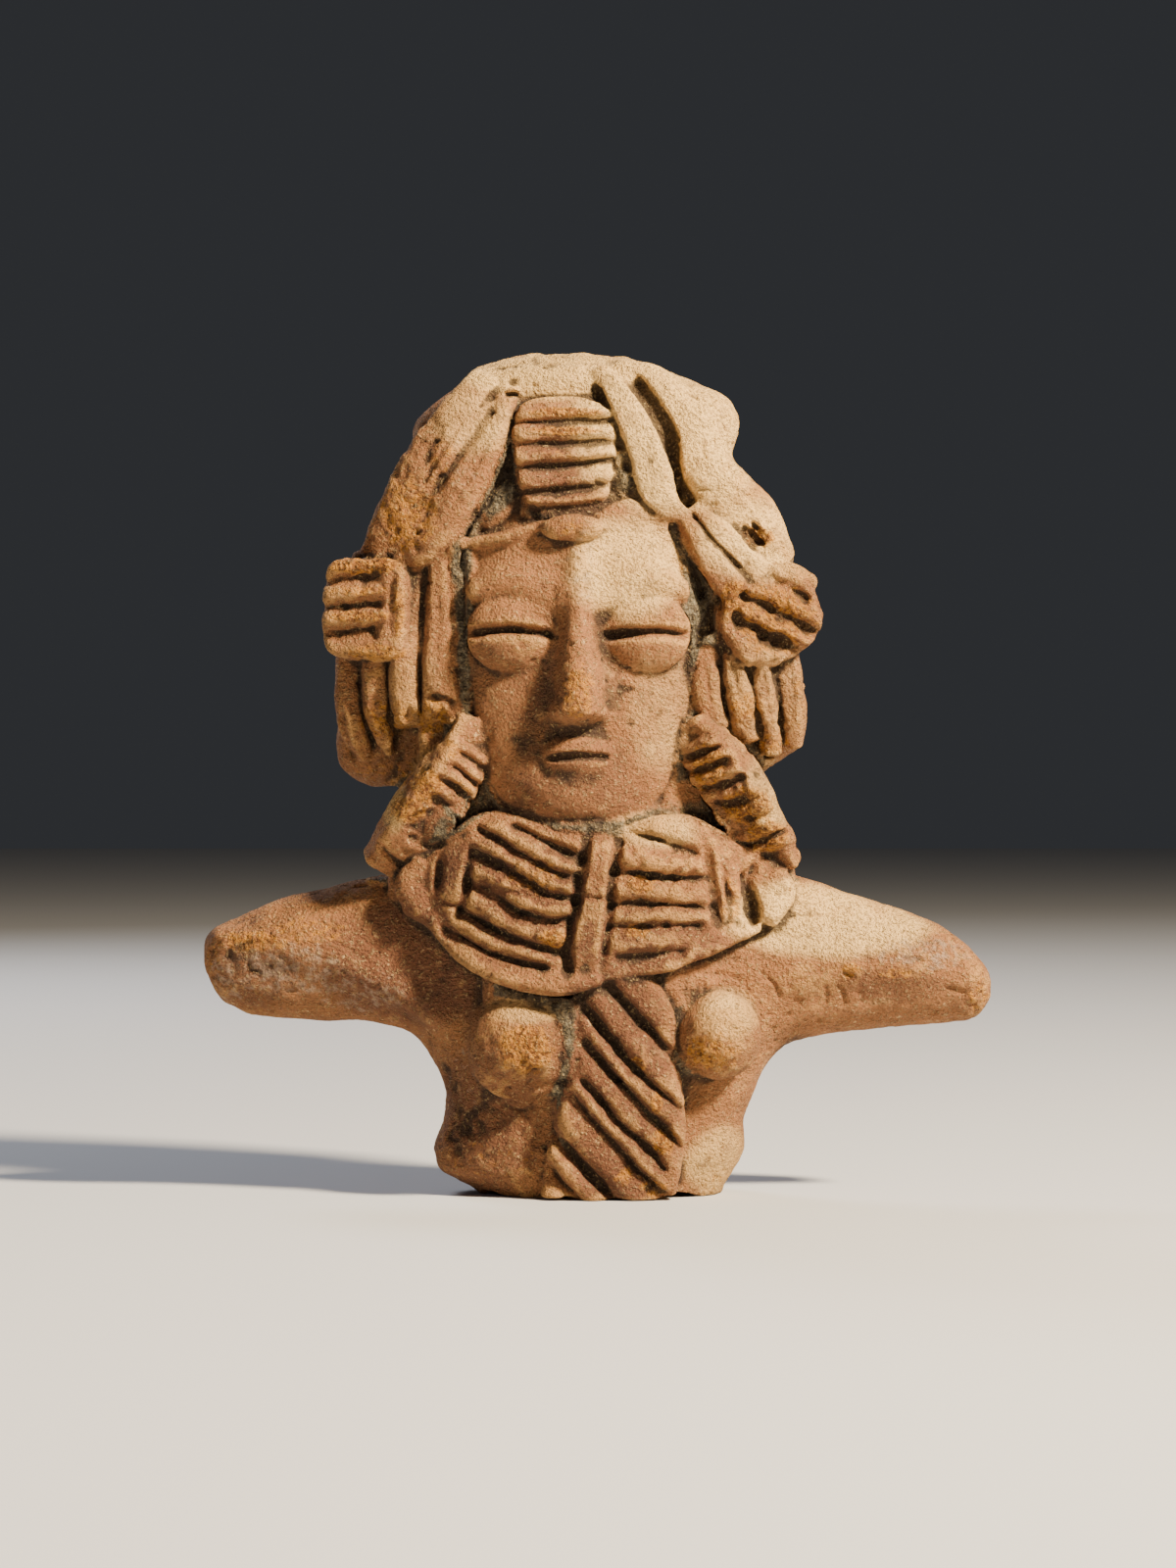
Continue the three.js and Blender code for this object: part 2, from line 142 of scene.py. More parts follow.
def joined(a, b, soft):
    """The nearer of two distances, with the crease between them filled over a width of soft."""
    overlap = np.maximum(soft - np.abs(a - b), 0)
    return np.minimum(a, b) - overlap * overlap / (4 * soft)


def kept(a, b, soft):
    """The farther of two distances, with the edge between them rounded over a width of soft."""
    return -joined(-a, -b, soft)


def block(low, high, spare=3.5):
    """The part of the grid between two corners: where it is, and its x, y and z as open arrays."""
    cuts = []
    for axis, a, b in zip(GRID, low, high):
        cuts.append(slice(*np.searchsorted(axis, (a - spare, b + spare))))
    places = np.meshgrid(*(axis[cut] for axis, cut in zip(GRID, cuts)), indexing="ij", sparse=True)
    return tuple(cuts), places


def around(centre, reach, spare):
    """The part of the grid around a place: where it is, its x, y and z, and how far they are from
    the place."""
    where, places = block(np.subtract(centre, reach), np.add(centre, reach), spare)
    return where, places, [place - c for place, c in zip(places, centre)]


def oval(parts, square):
    """Distance to a squared oval in two or three directions: its own measure over that measure's
    slope. Each part is the offset from the middle and the half size."""
    ratios = [np.abs(offset) / half + 1e-4 for offset, half in parts]
    measure = sum(ratio**square for ratio in ratios) ** (1 / square)
    steep = sum((ratio ** (square - 1) / half) ** 2 for ratio, (_, half) in zip(ratios, parts))
    slope = measure ** (1 - square) * np.sqrt(steep)
    return (measure - 1) / slope


def press(where, distance, soft):
    """Adds a lump to the clay, smoothing the seam over a width of soft."""
    clay[where] = joined(clay[where], distance.astype(np.float32), soft)


def loft(stations, soft, square=2.5, sideways=False):
    """A long lump whose squared-oval section changes along z, or along x if sideways. A station is
    its place, then the low and high edge of the section, then its front and its back."""
    table = np.array(sorted(stations), float)
    first, last = table[0, 0], table[-1, 0]
    low_edge, high_edge = table[:, 1].min(), table[:, 2].max()
    front, back = table[:, 3].min(), table[:, 4].max()
    low, high = (low_edge, front, first), (high_edge, back, last)
    if sideways:
        low, high = low[::-1], high[::-1]
    where, (x, y, z) = block(low, high)
    along, across = (x, z) if sideways else (z, x)
    curves = through(table[:, 0], table[:, 1:], along.ravel()).astype(np.float32).T
    left, right, near, far = (curve.reshape(along.shape) for curve in curves)
    section = [
        (place - (start + end) / 2, (end - start) / 2)
        for place, start, end in ((across, left, right), (y, near, far))
    ]
    body = oval(section, square)
    ends = np.maximum(first - along, along - last)
    press(where, kept(body, ends, 1.0), soft)


def pellet(centre, radii, soft, square=2.0):
    """A rolled ball of clay, flattened to the radii."""
    where, _, offset = around(centre, radii, spare=3.5)
    press(where, oval(list(zip(offset, radii)), square), soft)


def strap(stations, soft, square=2.4, ends=1.0, facing=FRONT):
    """A coil of clay as a squared oval carried along a smooth path through stations of
    [x, y, z, half width, half thickness]. Every point is measured from the nearest place on the
    path, and the ends are domes of that height."""
    table = np.array(stations, float)
    places_each = 8  # on the path, for each station
    at = np.linspace(0, len(table) - 1, places_each * len(table))
    path = through(np.arange(len(table)), table, at)
    middle, half = path[:, :3], path[:, 3:]
    ahead = np.gradient(middle, axis=0)
    ahead /= np.linalg.norm(ahead, axis=1)[:, None]
    side = np.cross(ahead, facing)
    side /= np.linalg.norm(side, axis=1)[:, None]
    out = np.cross(side, ahead)
    reach = half.max() + ends
    where, places = block(middle.min(0) - reach, middle.max(0) + reach, spare=2.0)
    points = np.stack(np.broadcast_arrays(*places), -1).reshape(-1, 3)
    nearest = np.argmin((middle**2).sum(1) - 2 * points @ middle.T, axis=1)
    offset = points - middle[nearest]
    forward = (offset * ahead[nearest]).sum(1)
    past = np.where(nearest == 0, -forward, np.where(nearest == len(middle) - 1, forward, 0))
    distance = oval(
        [
            ((offset * side[nearest]).sum(1), half[nearest, 0]),
            ((offset * out[nearest]).sum(1), half[nearest, 1]),
            (np.maximum(past, 0), ends),
        ],
        square,
    )
    press(where, distance.reshape(clay[where].shape), soft)


def pad(centre, half, soft, thick, square, edge, turn=0.0, swing=0.0, tilt=0.0, narrow=0.0):
    """A pad of clay with a flat front: a squared oval in its own plane, thick from front to back,
    with its front edge rounded. turn rolls it, swing faces it outwards, tilt faces it upwards and
    narrow draws in its foot."""
    roll, yaw, rise = map(math.radians, (turn, swing, tilt))
    out = [math.sin(yaw) * math.cos(rise), -math.cos(yaw) * math.cos(rise), math.sin(rise)]
    level = np.cross(out, UP)
    level /= np.linalg.norm(level)
    upright = math.cos(roll) * np.cross(level, out) + math.sin(roll) * level
    side = np.cross(out, upright)
    reach = max(half) + thick
    where, _, offset = around(centre, reach, spare=0)
    u, v, w = (sum(o * d for o, d in zip(offset, way)) for way in (side, upright, out))
    drawn_in = 1 - narrow * np.clip(0.5 - v / (2 * half[1]), 0, 1)
    plan = oval([(u / drawn_in, half[0]), (v, half[1])], square)
    press(where, kept(kept(plan, w, edge), -w - thick, 0.5), soft)


# The lumps

def trunk():
    """The trunk, wide and flat, from the broken waist up into the neck."""
    loft([
        (-2, -13.5, 15.6, -9, 8.9), (1.2, -16.6, 16.6, -10, 9.8), (2.8, -19.9, 17.6, -10.5, 10.4),
        (5, -21, 18.8, -10.8, 10.7), (9.6, -20, 18.9, -11, 10.6), (14, -19.6, 19.8, -11.2, 10.5),
        (20, -20, 20, -11.6, 10.8), (27, -19, 19.5, -12, 10.8), (35, -17, 17, -12.2, 10.4),
        (43, -14.5, 13.5, -12, 9.6), (54, -13, 11, -10, 8),
    ], soft=3)


def arms():
    """The stump arms, which swell out of one thick yoke across the chest."""
    left = [
        (-6, 9, 42, -10.6, 10), (-15, 9.6, 42.3, -10.8, 9.7), (-19.5, 14.9, 42, -10, 8.9),
        (-23, 19.8, 41.5, -9, 7.8), (-29, 22, 40.6, -8, 6.7), (-35, 22.2, 39.5, -7.4, 6),
        (-41, 22.7, 38, -6.9, 5.2), (-46, 23.8, 36, -6, 4.2), (-49, 25.9, 34.6, -4.8, 2.9),
        (-50.6, 29, 33.2, -3.2, 1.6),
    ]
    right = [
        (6, 8, 42, -10.6, 10), (15, 8.6, 42.5, -10.8, 9.7), (19.5, 13.4, 41.9, -10, 8.9),
        (23, 17.8, 41.3, -9, 7.8), (28, 19.9, 40, -8.1, 6.8), (34, 21, 38.2, -7.5, 6.1),
        (40, 21.5, 36.3, -6.9, 5.3), (45.5, 22, 33.6, -6, 4.2), (49.3, 23, 30.2, -4.7, 2.8),
        (50.6, 24.6, 28.4, -3.2, 1.6),
    ]
    for stations in (left, right):
        loft(stations, soft=3, square=2.0, sideways=True)
    # the blunt ridge that the fingers left along each arm
    left_ridge = [
        (-47.4, -3.8, 32.2, 1.4, 1.6), (-41, -5.5, 32, 1.6, 1.7), (-35, -6.1, 30.9, 1.7, 1.7),
        (-29.7, -6.6, 28.8, 1.7, 1.7), (-24.6, -7.3, 26, 1.6, 1.7), (-20.4, -7.9, 23.2, 1.4, 1.6),
    ]
    right_ridge = [
        (24, -7.2, 28.4, 1.5, 1.6), (29, -6.8, 29.4, 1.6, 1.7), (34.5, -6.2, 29.8, 1.7, 1.7),
        (40, -5.5, 29.6, 1.7, 1.7), (46.6, -4.0, 28.2, 1.4, 1.6),
    ]
    for stations in (left_ridge, right_ridge):
        strap(stations, soft=2.6, square=2, ends=2)


def breasts():
    """Two rolled pellets pressed on to the chest. The left one is smoothed in all round."""
    pellet((-10, -11.3, 19.4), (6.4, 5.6, 6.9), soft=1.6)
    pellet((15.2, -11, 20.9), (5.5, 5.4, 5.6), soft=0.5)


def hair_mass():
    """The wide mass of hair behind the face, spread like a hood under a broken crown."""
    loft([
        (52.4, -29.8, 14, -2, 6.2), (54.4, -32.8, 20.6, -5, 7.8), (57.4, -33.8, 25.6, -6.8, 9.2),
        (61, -33.6, 26.9, -7.6, 10), (67, -32.6, 26.3, -8, 10.6), (75, -31.8, 25.8, -8.4, 10.8),
        (82, -31, 24.9, -8.6, 10.8), (86, -29.3, 23.5, -8.6, 10.6), (89, -27.4, 19.4, -8.4, 10.4),
        (93, -25.2, 16.8, -8.2, 10), (96.6, -23.9, 16.3, -8, 9.6), (99.4, -23.4, 17.2, -7.6, 9),
        (102.4, -20.5, 15.6, -7, 8.4), (105, -17, 11.8, -6.4, 7.6), (107, -14.6, 6.6, -5.2, 6.2),
        (108.4, -9.8, 3.6, -3.4, 4.4),
    ], soft=2, square=2.9)
    # the clay behind the jaw that joins the hair to the shoulders
    loft([
        (33, -22, 21, -4, 8.4), (45, -24.6, 22, -7.6, 9.2), (55, -23.6, 20.6, -9.4, 9.4),
        (64, -22, 18, -7, 9),
    ], soft=3)
    # the swell of the skull at the back
    pellet((-3.4, 4.4, 82), (23, 8.7, 23), soft=4)


def face():
    """Flat cheeks, a pinched nose and applied pellets, placed by thirds of the face's height."""
    loft([
        (CHIN - 2, FACE_MID - 5, FACE_MID + 5, -11, 4),
        (CHIN, FACE_MID - 8.6, FACE_MID + 8.6, -14, 4),
        (CHIN + 3.5, FACE_MID - 11.6, FACE_MID + 11.6, -15.2, 4),
        (CHIN + 10, FACE_MID - 14, FACE_MID + 14, -15.2, 4),
        (CHIN + 20, FACE_MID - 15.4, FACE_MID + 15.4, -14.6, 4),
        (HAIRLINE - 5, FACE_MID - 15.4, FACE_MID + 15.2, -14.4, 4),
        (HAIRLINE + 3, FACE_MID - 13.4, FACE_MID + 13.4, -12.8, 4),
        (HAIRLINE + 9, FACE_MID - 9, FACE_MID + 9, -9.6, 4),
    ], soft=0.8, square=2.6)
    strap([
        (FACE_MID, -12.6, HAIRLINE - 2, 1.4, 2), (FACE_MID, -13.8, EYE_LINE + 5, 1.9, 2.6),
        (FACE_MID, -14.8, EYE_LINE - 1, 2.3, 3.4), (FACE_MID, -15.4, NOSE_BASE + 4.6, 3.2, 4.4),
        (FACE_MID, -15.6, NOSE_BASE + 1.6, 3.9, 4.7),
    ], soft=2.2, square=2, ends=1.8)
    pellet((FACE_MID, -12.8, CHIN + 4.4), (6, 3.6, 4), soft=2.5)
    pellet((FACE_MID, -14.8, MOUTH_LINE), (4.6, 3, 3.1), soft=0.8)
    for way in (-1, 1):
        eye = FACE_MID + way * EYE_APART
        strap([
            (eye - way * 6, -13.4, EYE_LINE + 4.6, 1.3, 1.3),
            (eye, -13.8, EYE_LINE + 6.6, 1.6, 1.3),
            (eye + way * 4.6, -12.8, EYE_LINE + 5.4, 1.2, 1.1),
        ], soft=2.4, square=2)
        pellet((eye, -13.2, EYE_LINE), (5.9, 3.1, 5.1), soft=0.6)


def brow_band():
    """The thin band along the hairline, broken near the middle, and its pellet."""
    strap([
        (-16.4, -11, 83.2, 0.6, 0.7), (-11.8, -13.2, 83.9, 0.7, 0.7), (-7, -14, 85.5, 0.6, 0.6),
    ], soft=1.2)
    strap([
        (0.4, -13.1, 85.8, 1.1, 0.9), (4.4, -12.6, 87.4, 1.2, 0.9), (8.2, -11.2, 87, 1, 0.8),
    ], soft=2.5)
    pellet((-3.3, -14.7, 85.1), (4, 1.5, 1.7), soft=0.3, square=2.3)


def crown():
    """The thick cap of hair on the right of the crown, and the flat straps laid over the rest."""
    strap([
        (3, -5, 105, 2.2, 3.6), (7, -6, 102.8, 3.3, 4.8), (10, -6.4, 98.8, 4, 5.2),
        (12.6, -6.4, 94, 3.8, 5.2), (15.4, -6.2, 90.2, 4, 5.2), (19.2, -5.6, 86, 4.2, 4.9),
        (22, -5.4, 81, 3.4, 4.4),
    ], soft=2, square=2.8)
    pellet((13.6, -4.4, 98.8), (4.4, 5.6, 4.6), soft=3)
    # the slope from the rim down to the forehead pad
    strap([
        (-15, -4.6, 103, 2.6, 3.2), (-9, -5.6, 103.6, 2.8, 3.4), (-4, -6.2, 103.6, 3, 3.6),
        (1.6, -6, 103.2, 2.4, 3.6),
    ], soft=3)
    # under the coils and under the locks on the right
    strap([(13, -6.6, 86, 2.4, 3.6), (17, -6.8, 81, 3.4, 3.8), (19, -6.2, 76, 3.4, 3.6)], soft=2)
    # the outer strap of the left flap
    strap([
        (-14, -6.6, 103.4, 2.4, 3), (-18, -7.8, 98.2, 3.4, 3.2), (-21.6, -8.2, 92.4, 3.8, 3.2),
        (-25, -7.8, 86.6, 3.2, 2.8), (-27.8, -7, 81.8, 2.4, 2.4),
    ], soft=1.5, square=3, facing=(-0.35, -0.9, 0.2))
    # the inner strap, smooth and flat, with a sharp edge over the forehead
    strap([
        (-11.1, -8.4, 102.4, 1.2, 1.8), (-13.4, -9.4, 98, 2.5, 2.2), (-16, -9.9, 93.2, 3.5, 2.4),
        (-19, -9.9, 88.6, 4, 2.4), (-22.4, -9.4, 84.4, 3.9, 2.2), (-25, -8.6, 81.8, 3, 1.8),
    ], soft=0.5, square=4, facing=(-0.3, -0.93, 0.2))
    # the clay at the foot of the leaf beside the forehead pad, the leaf, and the two coils that
    # run on from it to the right pad
    strap([(1.6, -9, 101, 1.8, 2), (3.8, -9.8, 96, 2, 2.2), (5.2, -10, 90.4, 2.2, 2.2)], soft=1.5)
    strap([
        (0.6, -8.6, 105, 1.2, 1.4), (3, -9.8, 101.4, 1.9, 2), (5, -10.8, 97.4, 2.4, 2.2),
        (6.4, -11.3, 93.8, 2.6, 2.4), (7.4, -11.5, 90.8, 2.7, 2.5), (8.8, -11.2, 88.2, 1.9, 2.1),
        (10.4, -10.8, 86.6, 0.9, 1.2),
    ], soft=0.4, square=3.4)
    strap([
        (10.6, -10.7, 87, 0.9, 1.3), (12, -11.2, 84.4, 1.8, 1.8), (14.4, -11.3, 81.2, 2.1, 1.9),
        (17.2, -11, 77.4, 2.1, 1.8),
    ], soft=0.4, square=2.8)
    strap([
        (12.6, -10.2, 87.2, 0.9, 1.2), (15, -10.6, 84.9, 1.6, 1.6), (17.8, -10.4, 82.3, 1.8, 1.6),
        (20.2, -9.8, 79.8, 1.6, 1.4),
    ], soft=0.8, square=2.8)


def hanging_locks():
    """Locks on both sides of the face, packed edge to edge like thick cords."""
    # the clay behind them
    strap([
        (-25.4, -4.8, 82, 6, 4), (-25.4, -5, 70, 6.4, 4), (-25, -4.6, 61, 5.8, 3.6),
    ], soft=1, square=3, facing=(-0.4, -0.92, 0))
    strap([
        (18, -6.4, 72, 5, 3.2), (19.4, -6, 65, 5.6, 3.2), (20.6, -5, 60, 4.6, 2.8),
    ], soft=1, square=3, facing=(0.4, -0.92, 0))
    locks = [
        [(-31.6, -3.6, 70, 1.8, 2.4), (-31.7, -4.2, 64, 2, 2.8), (-31, -4.4, 59.4, 1.9, 2.4),
         (-29.9, -3.4, 56.6, 1, 1.8)],
        [(-28.2, -6.2, 70, 2, 2.8), (-28.2, -6.4, 64, 2, 2.8), (-27.6, -6.2, 60.4, 1.6, 2.4),
         (-26.8, -5.2, 57.2, 0.6, 1.6)],
        [(-22.8, -7.2, 81, 1.5, 2.4), (-23.8, -7.8, 75, 2.1, 2.8), (-24.5, -8.2, 67, 2.1, 3),
         (-24.3, -8, 61, 1.9, 2.6)],
        [(-19.4, -8.2, 85, 1.8, 2.4), (-19.6, -8.8, 76, 2.5, 3), (-19.7, -9.2, 68, 2.8, 3),
         (-19.4, -8.8, 61, 2.6, 2.8)],
        [(13.9, -8.2, 70.2, 1, 1.8), (13.7, -9.1, 67, 1.9, 2.2), (14, -9.1, 63.4, 2, 2.1),
         (15.4, -8.7, 60, 1.5, 1.6)],
        [(16.6, -8, 71.4, 1.5, 2.4), (17.2, -8.5, 67.4, 1.9, 2.6), (18.2, -8.3, 63, 2.1, 2.6),
         (19.2, -7.4, 58.6, 1.9, 2.2)],
        [(20.4, -7.4, 70, 1.6, 2.4), (21, -7.6, 66, 1.7, 2.6), (21.8, -7.2, 61, 1.6, 2.4),
         (22.2, -6.2, 57, 1.4, 2)],
        [(24.2, -5.6, 69.4, 1.8, 2.4), (24.6, -5.6, 65, 1.9, 2.6), (24.9, -5, 60.6, 1.8, 2.4),
         (24.8, -4.4, 58.2, 1.6, 2)],
    ]
    for stations in locks:
        strap(stations, soft=0.3, square=2.6, ends=0.7)


def forehead_pad():
    """The pad over the forehead. It leans back into the crown."""
    half = (7.1, 7.9)
    pad((-4.2, -13.2, 94.6), half, 0.5, thick=7, square=3.4, edge=1.6, tilt=15, narrow=0.18)


def temple_pads():
    """The two pads on the temples, and the knob at the end of the right one's top ridge."""
    left, right = (5.6, 6.5), (6.7, 5.8)
    pad((-29.7, -11.8, 75), left, 0.3, thick=9, square=4, edge=1.5, turn=-3, swing=-12)
    pad((22.4, -11.6, 73.7), right, 0.3, thick=9, square=2.6, edge=1.8, turn=27, swing=12)
    strap([
        (21.4, -8.4, 81, 1, 1.6), (24.6, -9, 79.6, 1, 1.6), (26.9, -8.4, 78.4, 1.1, 1.4),
    ], soft=0.4, square=2)


def neck_bars():
    """The bars that hang from behind the jaw on to the ends of the collar. Each is turned
    about its length, so that a plain side shows beside its scored face."""
    left = [
        (-16.2, -10.8, 59.8, 2.6, 1.8), (-17.2, -11.2, 56.6, 3.3, 2.6),
        (-19.2, -11.4, 53, 3.8, 2.8), (-22.3, -10.4, 48.9, 3.9, 2.9), (-25, -8.8, 45.6, 3.4, 2.6),
        (-27.2, -7.4, 43.2, 2.5, 2),
    ]
    right = [
        (12.6, -10.6, 59.4, 2.3, 1.8), (13.8, -11.2, 57.4, 3.3, 2.6), (15.7, -11.2, 54.8, 3.8, 3),
        (17.7, -10.8, 52, 3.9, 3), (20.5, -9.4, 47.4, 3.3, 2.6), (22.7, -8, 44.8, 2.7, 2.1),
        (23.9, -7, 43.4, 1.8, 1.7),
    ]
    strap(left, soft=0.3, square=5, ends=1.4, facing=(0.32, -0.88, -0.34))
    strap(right, soft=0.3, square=5, ends=1.4, facing=(-0.42, -0.84, -0.34))
    pellet((24.9, -4.4, 43.4), (1.3, 2, 1.3), soft=0.4)


def collar():
    """The wide collar, laid round the neck and over the chest."""
    loft([
        (-26.8, 37.8, 41.6, -6.6, 0), (-23.4, 36.6, 43.6, -9.6, 0), (-19.4, 34.6, 46, -12.4, 0),
        (-15.6, 30, 48.6, -14.2, 0), (-10.6, 27.4, 49.4, -15.8, 0), (-4.6, 25.9, 47.6, -16.8, 0),
        (1.6, 26.9, 47.4, -16.8, 0), (7.6, 28.6, 48.8, -16, 0), (12.4, 30.4, 48.6, -14.6, 0),
        (17, 32.2, 46, -12.6, 0), (21.4, 34.6, 44.2, -9.8, 0), (25.2, 37.8, 42.4, -6.8, 0),
    ], soft=0.5, square=4, sideways=True)
    # the roll along its lower edge
    lower_left = [
        (-23.4, -8.4, 37.4, 1.6, 1.8), (-20.4, -9.8, 35.6, 1.7, 1.9), (-17.8, -11.2, 32.9, 1.8, 2),
        (-14.8, -12.9, 30.6, 1.8, 2.1), (-11, -14.3, 28.9, 1.8, 2.1), (-7.6, -15, 28, 1.8, 2.1),
        (-4, -15.2, 27.6, 1.7, 2), (-0.4, -15, 28.2, 1.3, 1.8),
    ]
    lower_right = [
        (3, -13.6, 29.2, 1, 1.6), (8, -14.2, 30.2, 1.4, 1.8), (12, -13.3, 31.8, 1.5, 1.9),
        (16, -11.8, 33.4, 1.6, 1.9), (19.6, -10.2, 35, 1.6, 1.8),
    ]
    for stations in (lower_left, lower_right):
        strap(stations, soft=0.7, square=2.6)
    # the plain lobe at the right end, and the one at the left end
    strap([
        (22.6, -8.6, 41, 1.8, 1.8), (22.9, -8.8, 38.8, 2.3, 2), (21.4, -9.6, 36, 2, 1.9),
    ], soft=0.7, square=2.6)
    strap([
        (-22.6, -9.2, 42.6, 1.3, 2), (-23.6, -9, 39.8, 2.3, 2.2), (-22.2, -9.8, 36.6, 1.6, 2),
    ], soft=0.4, square=2.6)


def pendant():
    """The pendant that falls from the collar between the breasts to the break."""
    loft([
        (-2, -7.3, 9.8, -13, -8), (6.6, -6.4, 10.9, -14.2, -8), (12.4, -4.7, 10.9, -15, -8),
        (18.5, -3.4, 10.1, -15.2, -8), (24.4, -2.5, 9.6, -15.2, -8), (28, -0.9, 7.6, -15, -8),
        (31, 0.6, 4.6, -14, -8),
    ], soft=0.5, square=3.4)


# Working on the front

def front_of_clay():
    """How far forward the clay reaches over each x and z: the first place from the front where the
    distance turns negative. Where there is no clay it is far behind."""
    inside = clay < 0
    first = np.maximum(inside.argmax(axis=1), 1)
    before = np.take_along_axis(clay, first[:, None, :] - 1, axis=1)[:, 0]
    after = np.take_along_axis(clay, first[:, None, :], axis=1)[:, 0]
    front = GRID[1][first - 1] + CELL * before / np.maximum(before - after, 1e-6)
    return np.where(inside.any(axis=1), front, NOTHING)


def window_around(spots, spare):
    """The part of the front around some points (x, z): its slices, and its x and z."""
    window = tuple(
        slice(*np.searchsorted(axis, (place.min() - spare, place.max() + spare)))
        for axis, place in zip((GRID[0], GRID[2]), spots.T)
    )
    return window, *np.meshgrid(GRID[0][window[0]], GRID[2][window[1]], indexing="ij")


def reshape_front(old, new):
    """Moves the front from one height map to another. The clay is cut back or filled out to the new
    height, and the height over its slope is the distance to it."""
    least, steepest = 0.01, 2
    past_back, overlap = 20, 1  # a place behind all clay, and how far new clay reaches into old
    moved = (np.abs(new - old) > least) & (old < NOTHING)
    rows, columns = (np.flatnonzero(moved.any(axis=axis)) for axis in (1, 0))
    window = (slice(rows[0], rows[-1] + 1), slice(columns[0], columns[-1] + 1))
    steep = np.hypot(*np.gradient(np.minimum(new, past_back), CELL))[window]
    old, new, moved = (field[window][:, None, :] for field in (old, new, moved))
    y = GRID[1][None, :, None]
    level = (new - y) / np.sqrt(1 + np.minimum(steep, steepest) ** 2)[:, None, :]
    part = clay[window[0], :, window[1]]
    cut = np.maximum(part, level)
    filled = np.minimum(part, np.maximum(level, y - old - overlap))
    part[:] = np.where(moved, np.where(new > old, cut, filled), part)


def score(strokes, behind=None, lean=0.0, power=1.5, run_out=1.6):
    """Presses strokes of a stick into the front. A stroke is its width, its depth and the points
    (x, z) that it passes. Across, the hollow is (1 - offset squared) to a power; along, it rises
    and runs out over a short length. The hand wavers: noise shifts the stroke and changes its
    depth. lean tips the stick: the wall on its left is then nearer and steeper, and the other side
    a long slope. The clay it pushes away stands up as a low burr. behind is the front before a
    lump was added: only the lump is marked."""
    waver, uneven = 0.11, 0.25  # in mm, and as a share of the depth
    burr_height, burr_width = 0.05, 0.35
    places_each = 16  # on the path, for each of its points
    front = front_of_clay()
    hollow = np.zeros_like(front)
    burr = np.zeros_like(front)
    for number, (width, depth, *points) in enumerate(strokes):
        at = np.linspace(0, len(points) - 1, places_each * len(points))
        path = through(np.arange(len(points)), points, at)
        ahead = np.gradient(path, axis=0)
        steps = np.linalg.norm(ahead, axis=1)
        ahead /= steps[:, None]
        travelled = np.cumsum(steps) - steps[0]
        window, x, z = window_around(path, width + 1)
        offset = np.stack([x, z], -1)[:, :, None] - path
        nearest = (offset**2).sum(-1).argmin(-1)
        offset = np.take_along_axis(offset, nearest[..., None, None], axis=2)[:, :, 0]
        along = ahead[nearest]
        gone = travelled[nearest] + (offset * along).sum(-1)
        off = offset[..., 0] * along[..., 1] - offset[..., 1] * along[..., 0]
        off += waver * along_line(gone, 2.6, 40 + number)
        fading = min(run_out, travelled[-1] / 3)
        run = fade(gone, 0, fading) * fade(travelled[-1] - gone, 0, fading)
        half = width / 2 * (0.6 + 0.4 * run) * np.where(off > 0, 1 + lean, 1 - lean)
        deep = depth * run * (1 + uneven * along_line(gone, 3.0, 140 + number))
        steep = np.where(off < 0, power * (1 - lean), power)
        cut = deep * np.clip(1 - (off / half) ** 2, 0, None) ** steep
        lip = burr_height * run * np.exp(-(((np.abs(off) - half - 0.1) / burr_width) ** 2))
        hollow[window] = np.maximum(hollow[window], cut)
        burr[window] = np.maximum(burr[window], lip)
    marked = 1.0 if behind is None else fade(behind - front, 0.1, 0.6)
    reshape_front(front, front + marked * (hollow - burr * (hollow < 0.1)))


DEEPER = 1.45  # a groove between rolls is this many times as deep as its table says


